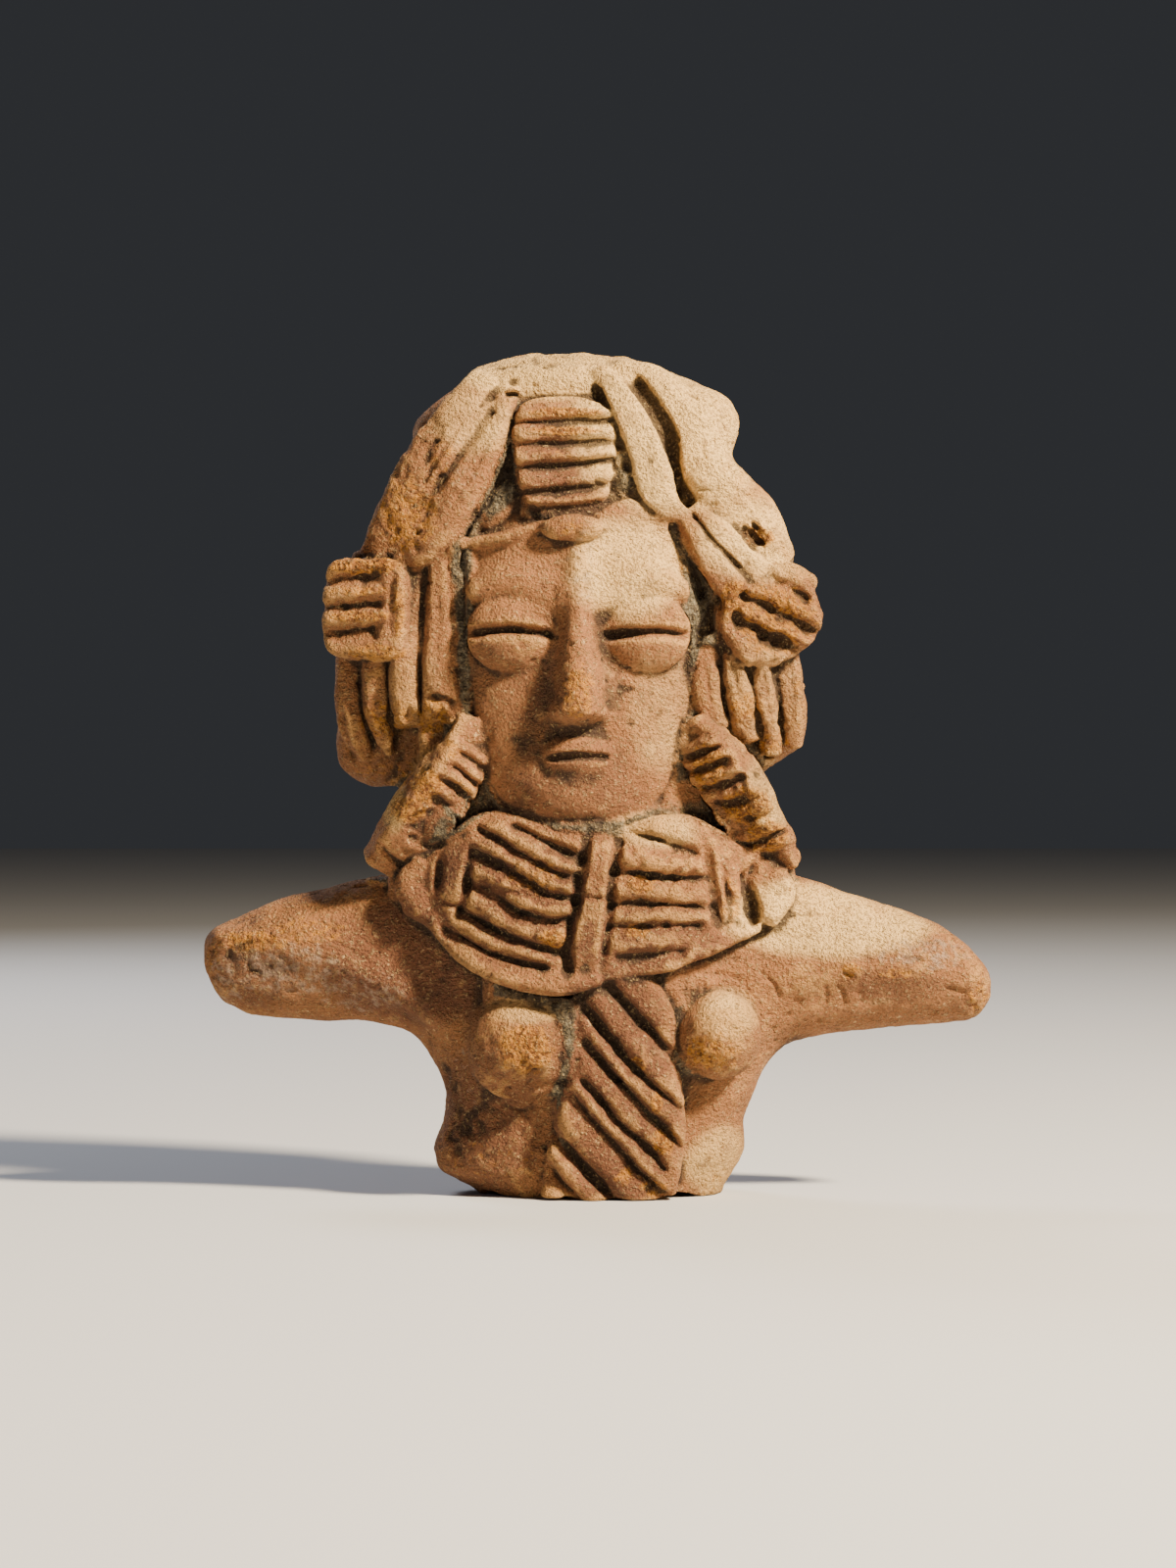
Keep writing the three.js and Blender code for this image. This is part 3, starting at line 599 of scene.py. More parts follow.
def lap(grooves, behind, seed, turn=0.0, pitch=3.0, full=0.8):
    """Shapes a panel into rolls that lap over each other. A groove is its depth and the points
    (x, z) that it passes, and they are listed from the top down in a frame turned by that angle.
    A place's share of the way from the groove above it to the one below, to the power 1.5, is
    turned through half a circle: its sine, to the power full, is the roll, a long slope and then a
    steep edge. The smaller full is, the flatter the roll."""
    waver, tremble, uneven = 0.14, 0.06, 0.25  # in mm, in mm, and as a share of the depth
    front = front_of_clay()
    cos, sin = math.cos(math.radians(turn)), math.sin(math.radians(turn))
    spots = np.array([point for _, *points in grooves for point in points])
    window, x, z = window_around(spots, 2 * pitch)
    along, up = x * cos + z * sin, z * cos - x * sin
    lines = []
    depths = []
    for number, (depth, *points) in enumerate(grooves):
        points = np.array(points, float)
        ahead = points[:, 0] * cos + points[:, 1] * sin
        height = points[:, 1] * cos - points[:, 0] * sin
        line = through(ahead, height[:, None], along.ravel())[:, 0].reshape(along.shape)
        lane = 7.7 * number
        shaky = tremble * along_line(along, 0.9, seed + 1, lane)
        line += waver * along_line(along, 2.3, seed, lane) + shaky
        run = fade(along - ahead[0], -0.4, 1.1) * fade(ahead[-1] - along, -0.4, 1.1)
        lines.append(line)
        depths.append(depth * run * (1 + uneven * along_line(along, 3.1, seed + 2, lane)))
    # an edge above the first groove and one below the last, so that the outer rolls close
    lines = np.array([lines[0] + 1.6 * pitch, *lines, lines[-1] - 1.6 * pitch])
    depths = np.array([0 * depths[0], *depths, 0 * depths[0]])
    above = np.clip((lines > up).sum(0), 1, len(grooves) + 1)[None]
    top, foot = (np.take_along_axis(lines, above - 1 + step, 0)[0] for step in (0, 1))
    share = np.clip((top - up) / np.maximum(top - foot, 0.3), 0, 1)
    low_top, low_foot = (np.take_along_axis(depths, above - 1 + step, 0)[0] for step in (0, 1))
    roll = np.sin(math.pi * share**1.5) ** full
    # each end of the share keeps to its own groove's depth
    drop = (1 - roll) * (low_top + (low_foot - low_top) * fade(share, 0.4, 0.8))
    lowered = np.zeros_like(front)
    lowered[window] = DEEPER * drop
    reshape_front(front, front + lowered * fade(behind - front, 0.1, 0.6))


def widest(field, reach, pick):
    """The largest or smallest value, by pick, within a square of that reach around each cell."""
    width = round(reach / CELL)
    for axis, spare in enumerate([[(width, width), (0, 0)], [(0, 0), (width, width)]]):
        padded = np.pad(field, spare, mode="edge")
        slices = np.lib.stride_tricks.sliding_window_view(padded, 2 * width + 1, axis=axis)
        field = pick(slices, axis=-1)
    return field


def hollows_of(front, reach):
    """How deep each place lies in a hollow narrower than twice the reach: the front less the same
    front with its hollows closed, which is the largest of the smallest heights around."""
    return front - widest(widest(front, reach, np.min), reach, np.max)


def settle_soil():
    """Soil has packed into every hollow deeper than about 2 mm, or 1 mm where the figure is caked,
    and dried there, gritty on top. Returns how deep the wide and the narrow hollows were before,
    for the finish."""
    usual, most = 2.0, 2.0
    front = front_of_clay()
    deep = hollows_of(front, 2.4)
    narrow = hollows_of(front, 1.2)
    x, z = np.meshgrid(GRID[0], GRID[2], indexing="ij")
    level = usual + 0.4 * noise(x, 0 * x, z, 3.0, 81) - patch(x, z, "caked")
    packed = np.clip(deep - level, 0, most)
    grit = 0.16 * fade(packed, 0.05, 0.4) * grain(x, 0 * x, z, 1.1, 82, 2)
    reshape_front(front, front - packed + grit)
    return [np.where(front < NOTHING, depth, 0) for depth in (deep, narrow)]


# Tool marks

def hair_marks():
    """Grooves between the straps on the crown, and between the locks."""
    score([
        # the grooves along both edges of the leaf, and the one between the coils
        (2.4, 1.2, (4.4, 105), (7.2, 101.4), (9.3, 97.4), (10, 93), (10.6, 88.6)),
        (1.3, 0.8, (-0.8, 104), (1.8, 99.6), (3.6, 94.4), (4.6, 90.2), (7.4, 86.6)),
        (1.0, 0.8, (11.4, 87.8), (13.8, 84.7), (16.2, 82), (18.8, 79.4)),
        (0.4, 0.5, (13.1, 95.4), (13.5, 94.7), (14.1, 93.4)),
        (0.5, 0.3, (15.6, 102), (17.4, 99.4), (18, 97)),
        (0.6, 0.3, (16.8, 90.4), (19.2, 89), (21, 86.4)),
        # the jagged break by the right pad
        (1.5, 0.9, (18.2, 85.6), (20, 84.4), (21.8, 82.8)),
        (0.9, 0.7, (19.4, 86.2), (20.6, 85), (21.2, 84)),
    ], lean=0.4, power=1.3)
    score([
        # the shallow groove between the straps of the left flap, and the pit at its top
        (1.6, 0.5, (-12.8, 101.4), (-15.1, 97.6), (-18.2, 93.4), (-21, 90), (-25, 85.4)),
        (0.8, 0.3, (-16.4, 99.6), (-19.4, 95.4), (-22.6, 90)),
        (0.6, 0.25, (-13.4, 96.4), (-16, 91.6), (-19.2, 87)),
        (1.1, 1.6, (-12.1, 102.0), (-10.9, 102.3), (-9.8, 102.2)),
        # between the locks on the left
        (1.1, 1.0, (-32.6, 62.5), (-32.3, 59.5), (-31, 55)),
        (1.2, 0.6, (-30.2, 69), (-30.1, 64), (-29.6, 60), (-28.4, 56.8)),
        (1.2, 0.7, (-26.4, 70), (-26.4, 64), (-26.1, 59)),
        (1.1, 0.6, (-21.9, 81), (-22.2, 74), (-22.4, 67), (-22.6, 60.5)),
        (1.2, 0.15, (-20.6, 82), (-20.2, 74), (-20.9, 66)),
        # between the locks on the right, and along them
        (1.2, 0.7, (15.4, 70.6), (15.7, 67), (16.1, 63.6), (17, 60.4)),
        (1.0, 0.7, (18.8, 70), (19.4, 66), (20.2, 62), (20.8, 57.6)),
        (1.0, 0.6, (22.4, 69), (22.8, 64.6), (23.4, 60.4), (23.6, 57.4)),
        (0.7, 0.35, (13.4, 68.6), (13.9, 65), (14.6, 61.6)),
        (0.7, 0.35, (17, 69), (17.6, 65.6), (18.4, 62)),
        (0.6, 0.3, (21, 68.6), (21.5, 64), (21.9, 60)),
        (0.6, 0.3, (24.8, 67.6), (25.1, 63.4), (24.9, 59.6)),
    ], power=1.4)


def jaw_gaps():
    """The gaps left between the sides of the face and the hair."""
    score([
        (2.4, 1.6, (8.8, 87), (10.6, 83.6), (12.2, 79.4), (13.4, 75.4)),
        (1.8, 1.0, (12.9, 74), (12.2, 70), (11.6, 66)),
        (2.4, 1.2, (-18.2, 83), (-17.9, 76), (-17.3, 68), (-16.2, 61)),
    ], power=1.2, run_out=2)


def forehead_rows(behind):
    """The rolls across the forehead pad."""
    rows = [
        (0.3, (-10, 100.3), (-4, 100.8), (1.6, 100.8)), (0.8, (-14, 98.6), (-4, 98.9), (2.2, 99)),
        (1.0, (-14, 95.9), (-4, 96), (2.4, 96.2)), (1.2, (-14, 92.9), (-4, 93.2), (2.6, 94)),
        (1.2, (-14, 89.6), (-4, 89.9), (2.2, 90.7)), (0.7, (-10.6, 87.5), (-4, 87.6), (1.6, 88.4)),
    ]
    lap(rows, behind, seed=201)


def temple_rows(behind):
    """The rolls across the temple pads: on the left one they stop short of a plain right edge."""
    left = [
        (1.0, (-38, 78.4), (-31, 79), (-27.4, 79.2)),
        (1.1, (-38, 75.3), (-31, 75.6), (-26.8, 75.8)),
        (1.0, (-38, 72), (-31, 72.4), (-27.4, 72.7)),
    ]
    right = [
        (0.6, (19.4, 80.2), (23.5, 78.5), (27.6, 76.2)),
        (1.1, (17.2, 77.4), (22.8, 74.8), (30.4, 70.8)),
        (1.1, (16.8, 74.4), (22.4, 71.4), (30, 68.4)),
    ]
    lap(left, behind, seed=211)
    lap(right, behind, turn=-27, seed=221)
    score([(1.6, 0.35, (-25.8, 80), (-26, 75), (-25.8, 70.6))], behind)


def bar_marks(behind):
    """The short pushes of a blade across the bars beside the neck."""
    left = [
        (0.5, (-17.6, 59), (-15.9, 58), (-13.4, 56.6)),
        (0.7, (-18.2, 57.2), (-15.9, 55.8), (-13, 53.8)),
        (0.9, (-18.6, 55.5), (-16.4, 53.8), (-13.4, 51.2)),
        (1.2, (-20, 53.8), (-17.4, 52.1), (-14.4, 48.9)),
        (1.2, (-20.8, 51.4), (-18.7, 49.6), (-15.8, 46.3)),
    ]
    right = [
        (0.5, (8.6, 57.9), (12.3, 58.7), (14.6, 59.2)),
        (1.0, (8.2, 55.9), (12.1, 56.6), (13.8, 57.1), (15.9, 57.8)),
        (1.1, (8.4, 53.8), (12.8, 54.7), (14.6, 55.3), (16.9, 56.2)),
        (1.1, (9.4, 51.7), (13.8, 52.5), (15.8, 53), (18.8, 53.9)),
        (0.7, (12, 49.5), (17.3, 50.3), (21, 51.2)), (0.7, (14.4, 47.2), (18.8, 48), (22.4, 49.2)),
        (1.1, (16, 44.8), (21.1, 45.7), (24.2, 47.1)), (0.8, (18, 43.1), (22.6, 44), (25.6, 45.4)),
    ]
    lap(left, behind, turn=-44, pitch=2.2, seed=231)
    lap(right, behind, turn=15, pitch=2.4, seed=241)
    slits = [
        (1.0, 0.6, (-18, 54.9), (-16.2, 53.5), (-14.4, 51.8)),
        (1.2, 0.7, (-19, 53), (-17.4, 51.9), (-15.2, 49.6)),
        (1.2, 0.8, (-20, 50.7), (-18.7, 49.4), (-16.8, 47.4)),
        (1.2, 0.9, (-28, 46), (-26.2, 43.8), (-23.8, 41.6)),
        (1.1, 0.8, (-29.6, 43.4), (-27.7, 41.5), (-25.4, 40.2)),
    ]
    score(slits, behind, lean=0.35, power=1.3)


def collar_marks(behind):
    """The rolls across each panel of the collar, and the upright gashes that part the panels."""
    left = [
        (1.2, (-11.4, 47.8), (-8, 46.2), (-6, 45.1), (-1.4, 43.2)),
        (1.0, (-15.6, 47.6), (-11.8, 45.5), (-9.8, 44.2), (-7.8, 43.1), (-5.3, 41.8), (-1.8, 41)),
        (1.2, (-16.4, 44.6), (-12.3, 42.8), (-10.5, 41.5), (-8.5, 40.2), (-6.5, 39.1),
         (-2.2, 38.4)),
        (1.2, (-16.8, 40.8), (-13.6, 39.4), (-10.9, 37.3), (-8.5, 36.2), (-3, 35.8)),
        (1.2, (-18.4, 37.6), (-14, 35), (-11.8, 33.9), (-9.1, 32.9), (-3.6, 31.5)),
        (1.0, (-20, 35.2), (-16.3, 32.9), (-14, 31.5), (-11.4, 30.8), (-6, 29.6)),
    ]
    right = [
        (1.1, (1.2, 47.2), (4.3, 46.4), (7.1, 45.8), (9.5, 45.1), (13.4, 43.6)),
        (1.2, (1.6, 42.1), (6.7, 41.4), (9.6, 41.1), (14, 41)),
        (1.0, (1.2, 37.5), (7.1, 37.8), (9.5, 37.6), (15.2, 37.2)),
        (1.0, (1, 34.8), (5.5, 35), (8.1, 35.2), (13.6, 34.9)),
        (0.9, (1.6, 31.2), (6.7, 31.2), (11.6, 32)),
    ]
    lap(left, behind, turn=-17, seed=251)
    lap(right, behind, turn=-3, seed=261)
    cracks = [
        (0.8, 0.5, (-10.4, 47.2), (-8, 46.4), (-5.4, 45)),
        (0.8, 0.6, (-11.8, 43), (-10, 41.6), (-8.5, 40.6), (-6.5, 39.5)),
        (0.7, 0.5, (-15.8, 40.3), (-13.2, 39.8), (-10.7, 39.2), (-8.5, 38.6), (-6.9, 37.6)),
        (0.9, 0.6, (-12.6, 38.6), (-10.9, 37.5), (-8.5, 36.5), (-6, 36.3)),
        (0.8, 0.6, (-16.3, 36.4), (-14, 35.2), (-11.8, 34.2), (-9.1, 33.2)),
        (0.7, 0.6, (-18.2, 34.4), (-16.3, 33.1), (-14, 31.8), (-11.4, 31)),
        (1.0, 0.6, (4.2, 42), (6.7, 41.6), (9, 41.4)),
        (0.8, 0.4, (2.6, 46.9), (4.3, 46.6), (7.1, 46), (9.5, 45.3)),
        (1.4, 0.35, (5, 45), (7.4, 44.5), (9.8, 43.7)),
        (0.7, 0.3, (7.1, 40.2), (9.9, 41.8), (12.7, 43.4)),
        # the step in the middle bar, and the gap under the left end's block
        (0.9, 0.6, (-2.4, 38.6), (0, 38.4), (1.8, 38.3)),
        (1.0, 0.6, (-20.6, 38.3), (-18.8, 37.7), (-17.4, 37.2)),
    ]
    uprights = [
        (1.8, 1.3, (-1.2, 48), (-1.7, 44.6), (-2.4, 41), (-2.9, 37.4), (-3.5, 34.6), (-3.9, 31),
         (-4, 27)),
        (1.8, 1.2, (2.9, 48), (2.4, 45), (1.9, 41.6), (1.5, 38.2), (1.1, 34.8), (0.4, 28.6)),
        (1.5, 0.9, (-19.8, 44.6), (-20.1, 42.3), (-20.4, 37.9)),
        (1.7, 1.1, (-16.1, 44.6), (-16.6, 41), (-17.2, 37.4), (-18, 34.8)),
        (1.9, 1.2, (13.2, 46.4), (14, 42), (14.6, 37.9), (15.3, 33.4)),
        (2.4, 1.6, (17.8, 43.4), (18.8, 39.4), (19.6, 36.2), (20.2, 33)),
        (0.9, 0.5, (15.4, 44.4), (16.2, 40), (17, 35.4)),
    ]
    score(cracks, behind, lean=0.35, power=1.2)
    score(uprights, behind, lean=-0.2, power=1.0, run_out=3.2)


def pendant_marks(behind):
    """The long slashes down the pendant, from upper left to lower right, each steep on its upper
    side; the plain margin on the left is left clear."""
    slashes = [
        (1.2, (-0.7, 30.2), (2.7, 25.9), (5.1, 23.4), (7.4, 20.8), (9.7, 18.4), (12.4, 14)),
        (1.4, (-1.9, 25.2), (0.9, 21.5), (3.2, 18.5), (5.5, 16), (7.8, 13.9), (11.8, 11)),
        (1.4, (-1.8, 20.9), (1.1, 17.1), (3.7, 14.4), (6, 11.8), (8.1, 9.6), (12, 5.2)),
        (1.2, (-2.2, 15.8), (0.9, 12.2), (3.2, 9.5), (5.8, 7.2), (9, 3.6)),
        (1.1, (-3.4, 14.2), (-0.7, 10.6), (1.6, 8), (4.6, 4.6), (9.4, 0)),
        (1.5, (-6, 9.6), (-3.3, 6.2), (-1.2, 3.7), (1.8, 0.4), (3.4, -1.4)),
        (1.1, (-7.2, 6), (-4.7, 2.7), (-2, -0.2), (-1, -1.4)),
    ]
    lap(slashes, behind, turn=-48, seed=271, full=0.5)
    cuts = [
        (1.1, 0.5, (0.2, 29), (2.9, 26), (5.3, 23.5), (7.6, 20.9), (9.8, 18.6)),
        (1.3, 0.6, (-1, 24.2), (1.1, 21.6), (3.4, 18.6), (5.7, 16.1), (8, 14.2), (10.6, 12.4)),
        (1.2, 0.6, (-0.8, 19.9), (1.3, 17.2), (3.9, 14.5), (6.2, 11.9), (8.3, 9.7), (10.8, 6.8)),
        (1.1, 0.5, (-1, 14.8), (1.1, 12.3), (3.4, 9.6), (6, 7.3), (8.4, 4.6)),
        (1.1, 0.5, (-2.4, 13), (-0.5, 10.7), (1.8, 8.1), (4.8, 4.7), (8, 1.6)),
        (1.6, 0.9, (-5, 8.6), (-3.1, 6.3), (-1, 3.8), (2, 0.5)),
        (1.2, 0.5, (-6.2, 5), (-4.5, 2.8), (-2, 0)),
    ]
    score(cuts, behind, lean=0.3, power=1.3, run_out=2)


def skin_marks():
    """Nail lines, nicks and folds on the plain skin of the arms and the chest."""
    score([
        (0.7, 0.4, (20, 29.2), (22.4, 27.4), (23.4, 25)),
        (0.6, 0.3, (18.4, 31.6), (20.6, 31), (22, 30.2)),
        (0.7, 0.35, (28.8, 27.8), (29.2, 26), (29, 24.4)),
        (0.7, 0.35, (30.2, 27.6), (31.4, 26), (31.6, 24.2)),
        (1.0, 0.7, (31, 29.4), (31.8, 28.6), (33, 28.2)),
        (1.1, 0.6, (38.2, 30.4), (40.4, 30.2), (42, 30)),
        (0.9, 0.4, (44, 26.6), (46, 26.4), (47.8, 25.8)),
        (0.8, 0.5, (47.4, 25), (48.6, 23.9), (49.4, 23)),
        (1.0, 0.8, (-51, 28.2), (-49.8, 27.9), (-48.4, 28.3)),
        (0.7, 0.3, (-46.6, 24.8), (-44, 24), (-41, 23.8)),
        (0.7, 0.3, (-34, 32.6), (-31.4, 31.4), (-29, 30)),
        # folds under the left breast
        (0.9, 0.35, (-14.4, 13.8), (-11, 12.8), (-7, 13)),
        (0.7, 0.3, (-13, 12.2), (-10, 11.4), (-7.4, 11.8)),
        # the crease round the top of the right breast
        (0.8, 0.35, (11.4, 26.8), (13.6, 28.3), (16.4, 28.6), (19, 27.2)),
    ], power=1.2, run_out=0.9)


def face_marks():
    """The slits of the mouth and the eyes: the width, the depth, the middle, how far it is raised,
    and the two ends as steps from the middle."""
    slits = [(1.3, 1.3, FACE_MID, MOUTH_LINE, 0.2, (-4.8, -0.1), (4.8, -0.1))]
    for way in (-1, 1):
        eye = FACE_MID + way * EYE_APART
        slits.append((1.9, 1.5, eye, EYE_LINE, 0.3, (-way * 6, -0.4), (way * 6.4, -0.2)))
    strokes = [
        (width, depth, (x + a, z + b), (x, z + rise), (x + c, z + d))
        for width, depth, x, z, rise, (a, b), (c, d) in slits
    ]
    score(strokes, lean=0.2, power=1.3, run_out=1.8)


# Wear

def crumble(centre, radii, depth, size, seed):
    """Eats into the clay around a place: the distance grows by a coarse grain that fades
    outwards."""
    where, places, offset = around(centre, radii, spare=1.0)
    reach = sum((o / r) ** 2 for o, r in zip(offset, radii))
    bite = 0.4 + 0.9 * grain(*places, size, seed)
    clay[where] += (depth * (1 - fade(reach, 0.35, 1.1)) * np.clip(bite, 0, 1.3)).astype(np.float32)


def chip(centre, way, reach, seed, rough):
    """Breaks a flake off: inside a ball, all clay beyond a rough plane that faces the given way."""
    way = np.array(way, float) / np.linalg.norm(way)
    where, places, offset = around(centre, reach, spare=0)
    beyond = sum(o * w for o, w in zip(offset, way)) + rough * grain(*places, 1.6, seed)
    ball = np.sqrt(sum(o * o for o in offset)) - reach
    clay[where] = kept(clay[where], np.minimum(beyond, -ball).astype(np.float32), 0.3)


def wear():
    """The broken and crumbled places, in turn. A chip is the place, the way it faces, its reach, a
    seed and how rough it is. A crumbled place is its middle, its reach each way, its depth, the
    size of the crumbs and a seed."""
    places = [
        # the underside of the left breast, sheared off
        (chip, (-9.6, -15.9, 17), (0.05, -0.74, -0.67), 5.5, 31, 0.6),
        # the broken ends of the locks on the left
        (chip, (-20.6, -9.6, 60.4), (0, -0.9, -0.45), 4.2, 32, 0.7),
        # the tips of the arms
        (chip, (-50.3, -1.5, 27.2), (-0.75, -0.2, -0.6), 2.2, 33, 0.35),
        (chip, (50.2, -2.5, 24.2), (0.6, -0.5, -0.6), 2.0, 34, 0.35),
        # the nick in the crown's right edge, and the step in its rim
        (chip, (18.4, -2, 97.6), (1, -0.1, 0.2), 3.0, 36, 0.35),
        (chip, (6.5, -1, 109.4), (0.5, -0.2, 1), 3.6, 37, 0.35),
        # the downward scoop below the middle of the left bar
        (chip, (-21.6, -11.8, 47.2), (0.35, -0.75, -0.55), 2.8, 38, 0.5),
        # the crown, and knocks on the back
        (crumble, (20.2, -9, 84.3), (3, 4, 2.6), 0.45, 0.9, 11),
        (crumble, (-22.5, -9, 92), (4, 6, 10), 0.5, 1.8, 12),
        (crumble, (-3, -4, 108.5), (17, 10, 3.4), 0.5, 2.0, 13),
        (crumble, (9, 12, 91), (5, 3, 4), 0.7, 2.2, 42),
        (crumble, (-17, 10, 66), (4, 3, 6), 0.6, 1.8, 43),
        (crumble, (12, 11, 34), (6, 3, 4), 0.6, 2.0, 44),
        (crumble, (-6, 11, 14), (5, 3, 5), 0.5, 2.0, 45),
        # a flake off the edge of the break behind
        (chip, (-4, 10.6, 1.2), (0, 0.8, -0.7), 3.4, 46, 0.35),
        # the bars, the temple pads, the foot of the trunk and the collar
        (crumble, (17, -12, 49.6), (3.4, 4, 2.4), 0.5, 1.2, 15),
        (crumble, (20.4, -11, 46), (4, 5, 4), 0.3, 1.2, 16),
        (crumble, (-22, -11, 48), (3, 4, 2), 0.3, 1.2, 17),
        (crumble, (22.4, -11, 73.8), (7.4, 5, 7), 0.45, 1.1, 18),
        (crumble, (-30, -10, 75), (6.6, 6, 7), 0.3, 1.1, 19),
        (crumble, (-13, -11, 6), (11, 8, 8), 0.45, 1.5, 20),
        (crumble, (-8, -15, 40), (8, 5, 7), 0.3, 1.3, 23),
        (chip, (21, -10.6, 41.2), (-0.4, -0.85, 0.3), 2.2, 22, 0.5),
        # the arms
        (crumble, (-44, -4, 31), (8, 5, 8), 0.25, 1.6, 24),
        (crumble, (30.4, -8, 23.6), (1.2, 2, 1), 0.6, 0.8, 27),
        (crumble, (49, -3, 25), (3, 5, 4), 0.4, 1.2, 28),
        # the right locks, the right side of the collar and the right bar
        (crumble, (19.4, -8, 64), (8, 6, 9), 0.35, 1.1, 25),
        (crumble, (6.4, -15, 40), (9, 5, 9), 0.35, 1.1, 26),
        (crumble, (18, -12, 38), (3.4, 4, 7), 0.45, 1.0, 40),
        (crumble, (16.4, -12, 53), (6, 5, 8), 0.3, 1.0, 41),
        # the right breast and the pendant
        (crumble, (14.2, -15, 18.6), (4.6, 4, 3.6), 0.3, 1.0, 29),
        (crumble, (7.4, -15, 7), (3, 3, 4), 0.5, 1.1, 30),
        (crumble, (4.8, -15, 17), (1.6, 3, 1.6), 0.5, 1.0, 39),
    ]
    for work, *place in places:
        work(*place)


def break_at_waist():
    """The figure ends in a flat break whose edge has crumbled upwards here and there."""
    x, y, z = np.meshgrid(*GRID, indexing="ij", sparse=True)
    low = GRID[2] < 3
    chips = 0.7 * np.clip(grain(x, y, 0 * z[..., :1], 5.0, 21), 0, 1)
    clay[..., low] = np.maximum(clay[..., low], chips - z[..., low])


# Taking the skin off

def blurred(field, reach):
    """The field averaged over a cube of that reach in each direction, by running sums."""
    width = max(1, round(reach / CELL))
    for axis in range(3):
        moved = np.moveaxis(field, axis, 0)
        padded = np.concatenate([moved[:1]] * (width + 1) + [moved] + [moved[-1:]] * width)
        sums = np.cumsum(padded, axis=0, dtype=np.float32)
        span = 2 * width + 1
        field = np.moveaxis((sums[span:] - sums[:-span]) / span, 0, axis)
    return field


def sample(field, points):
    """The value at each point of a field that is kept on the grid."""
    cells = []
    parts = []
    for axis, place in zip(GRID, points.T):
        at = np.clip((place - axis[0]) / CELL, 0, len(axis) - 1.001)
        cells.append(at.astype(int))
        parts.append(at - at.astype(int))
    return blended(cells, parts, field)


def mesh_object(name, points, faces):
    """A mesh object in the scene from points in metres and faces of four corners."""
    mesh = bpy.data.meshes.new(name)
    mesh.vertices.add(len(points))
    mesh.vertices.foreach_set("co", points.astype(np.float32).ravel())
    mesh.loops.add(faces.size)
    mesh.loops.foreach_set("vertex_index", faces.astype(np.int32).ravel())
    mesh.polygons.add(len(faces))
    starts = np.arange(0, faces.size, faces.shape[1], dtype=np.int32)
    mesh.polygons.foreach_set("loop_start", starts)
    mesh.update(calc_edges=True)
    thing = bpy.data.objects.new(name, mesh)
    bpy.context.scene.collection.objects.link(thing)
    return thing


def triples(rows, key):
    """A value of three numbers at every point of a mesh."""
    values = np.zeros(len(rows) * 3, np.float32)
    rows.foreach_get(key, values)
    return values.reshape(-1, 3)


def back_relief(x, z):
    """The height of the smeared back: noise drawn out downwards by the fingers, broad strands in
    the hair as a cosine across x, and a low lip where the hair ends over the shoulders."""
    level = np.zeros_like(x)
    sway = x + 2.5 * noise(x, level, z, 14.0, 55)
    smears = 0.28 * noise(sway, level, z / 4, 5.0, 54) + 0.1 * noise(sway, level, z / 5, 1.8, 56)
    above = z - 55 - 2 * noise(x, level, level, 8.0, 57) - 0.012 * (x + 3) ** 2
    strands = 0.35 * np.cos(sway * 2 * math.pi / 9.5) * fade(above, 0, 9) * (1 - fade(z, 90, 100))
    lip = 0.8 * fade(above, -0.6, 0.9) * (1 - fade(above, 1, 16))
    return smears + strands + lip


def take_skin():
    """The surface of the clay as one mesh: roughened by hand marks, sand and pits along its
    normals, then thinned where it is flat."""
    volume = openvdb.FloatGrid(2.0)
    volume.copyFromArray(np.clip(clay, -2, 2))
    points, faces = volume.convertToQuads(0.0)
    corner = np.array([axis[0] for axis in GRID])
    thing = mesh_object("fired_clay", points * CELL + corner, faces)
    points = triples(thing.data.vertices, "co")
    normal = triples(thing.data.vertex_normals, "vector")
    x, y, z = points.T
    hand = 0.2 * grain(x, y, z, 9.0, 51, 2) + 0.12 * noise(x, y, z, 3.2, 53)
    hand = hand + fade(normal[:, 1], 0.2, 0.8) * back_relief(x, z)
    worn = np.maximum(patch(x, z, "ochre"), 0.6 * patch(x, z, "sandy")) * front_share(x, y, z)
    coarse = (0.05 + 0.14 * worn) * noise(x, y, z, 1.4, 61)
    fine = (0.05 + 0.1 * worn) * noise(x, y, z, 0.8, 62)
    sand = coarse + fine
    # pits drawn out sideways, where a wet finger dragged the grit
    dragged = fade(noise(x, y, z, 8, 72), -0.3, 0.3)
    pits = -0.2 * fade(noise(x / 1.5, y, z, 0.9, 71), 0.45, 0.8) * dragged
    seen = fade(-normal[:, 1], -0.6, 0)
    points = points + normal * (hand + seen * (sand + pits))[:, None]
    points[:, 2] = np.maximum(points[:, 2], 0)
    thing.data.vertices.foreach_set("co", points.astype(np.float32).ravel())
    thin = thing.modifiers.new("thin", "DECIMATE")
    thin.ratio = min(1.0, MOST_TRIANGLES / (2 * len(faces)))
    bpy.context.view_layer.objects.active = thing
    thing.select_set(True)
    bpy.ops.object.modifier_apply(modifier=thin.name)
    return thing


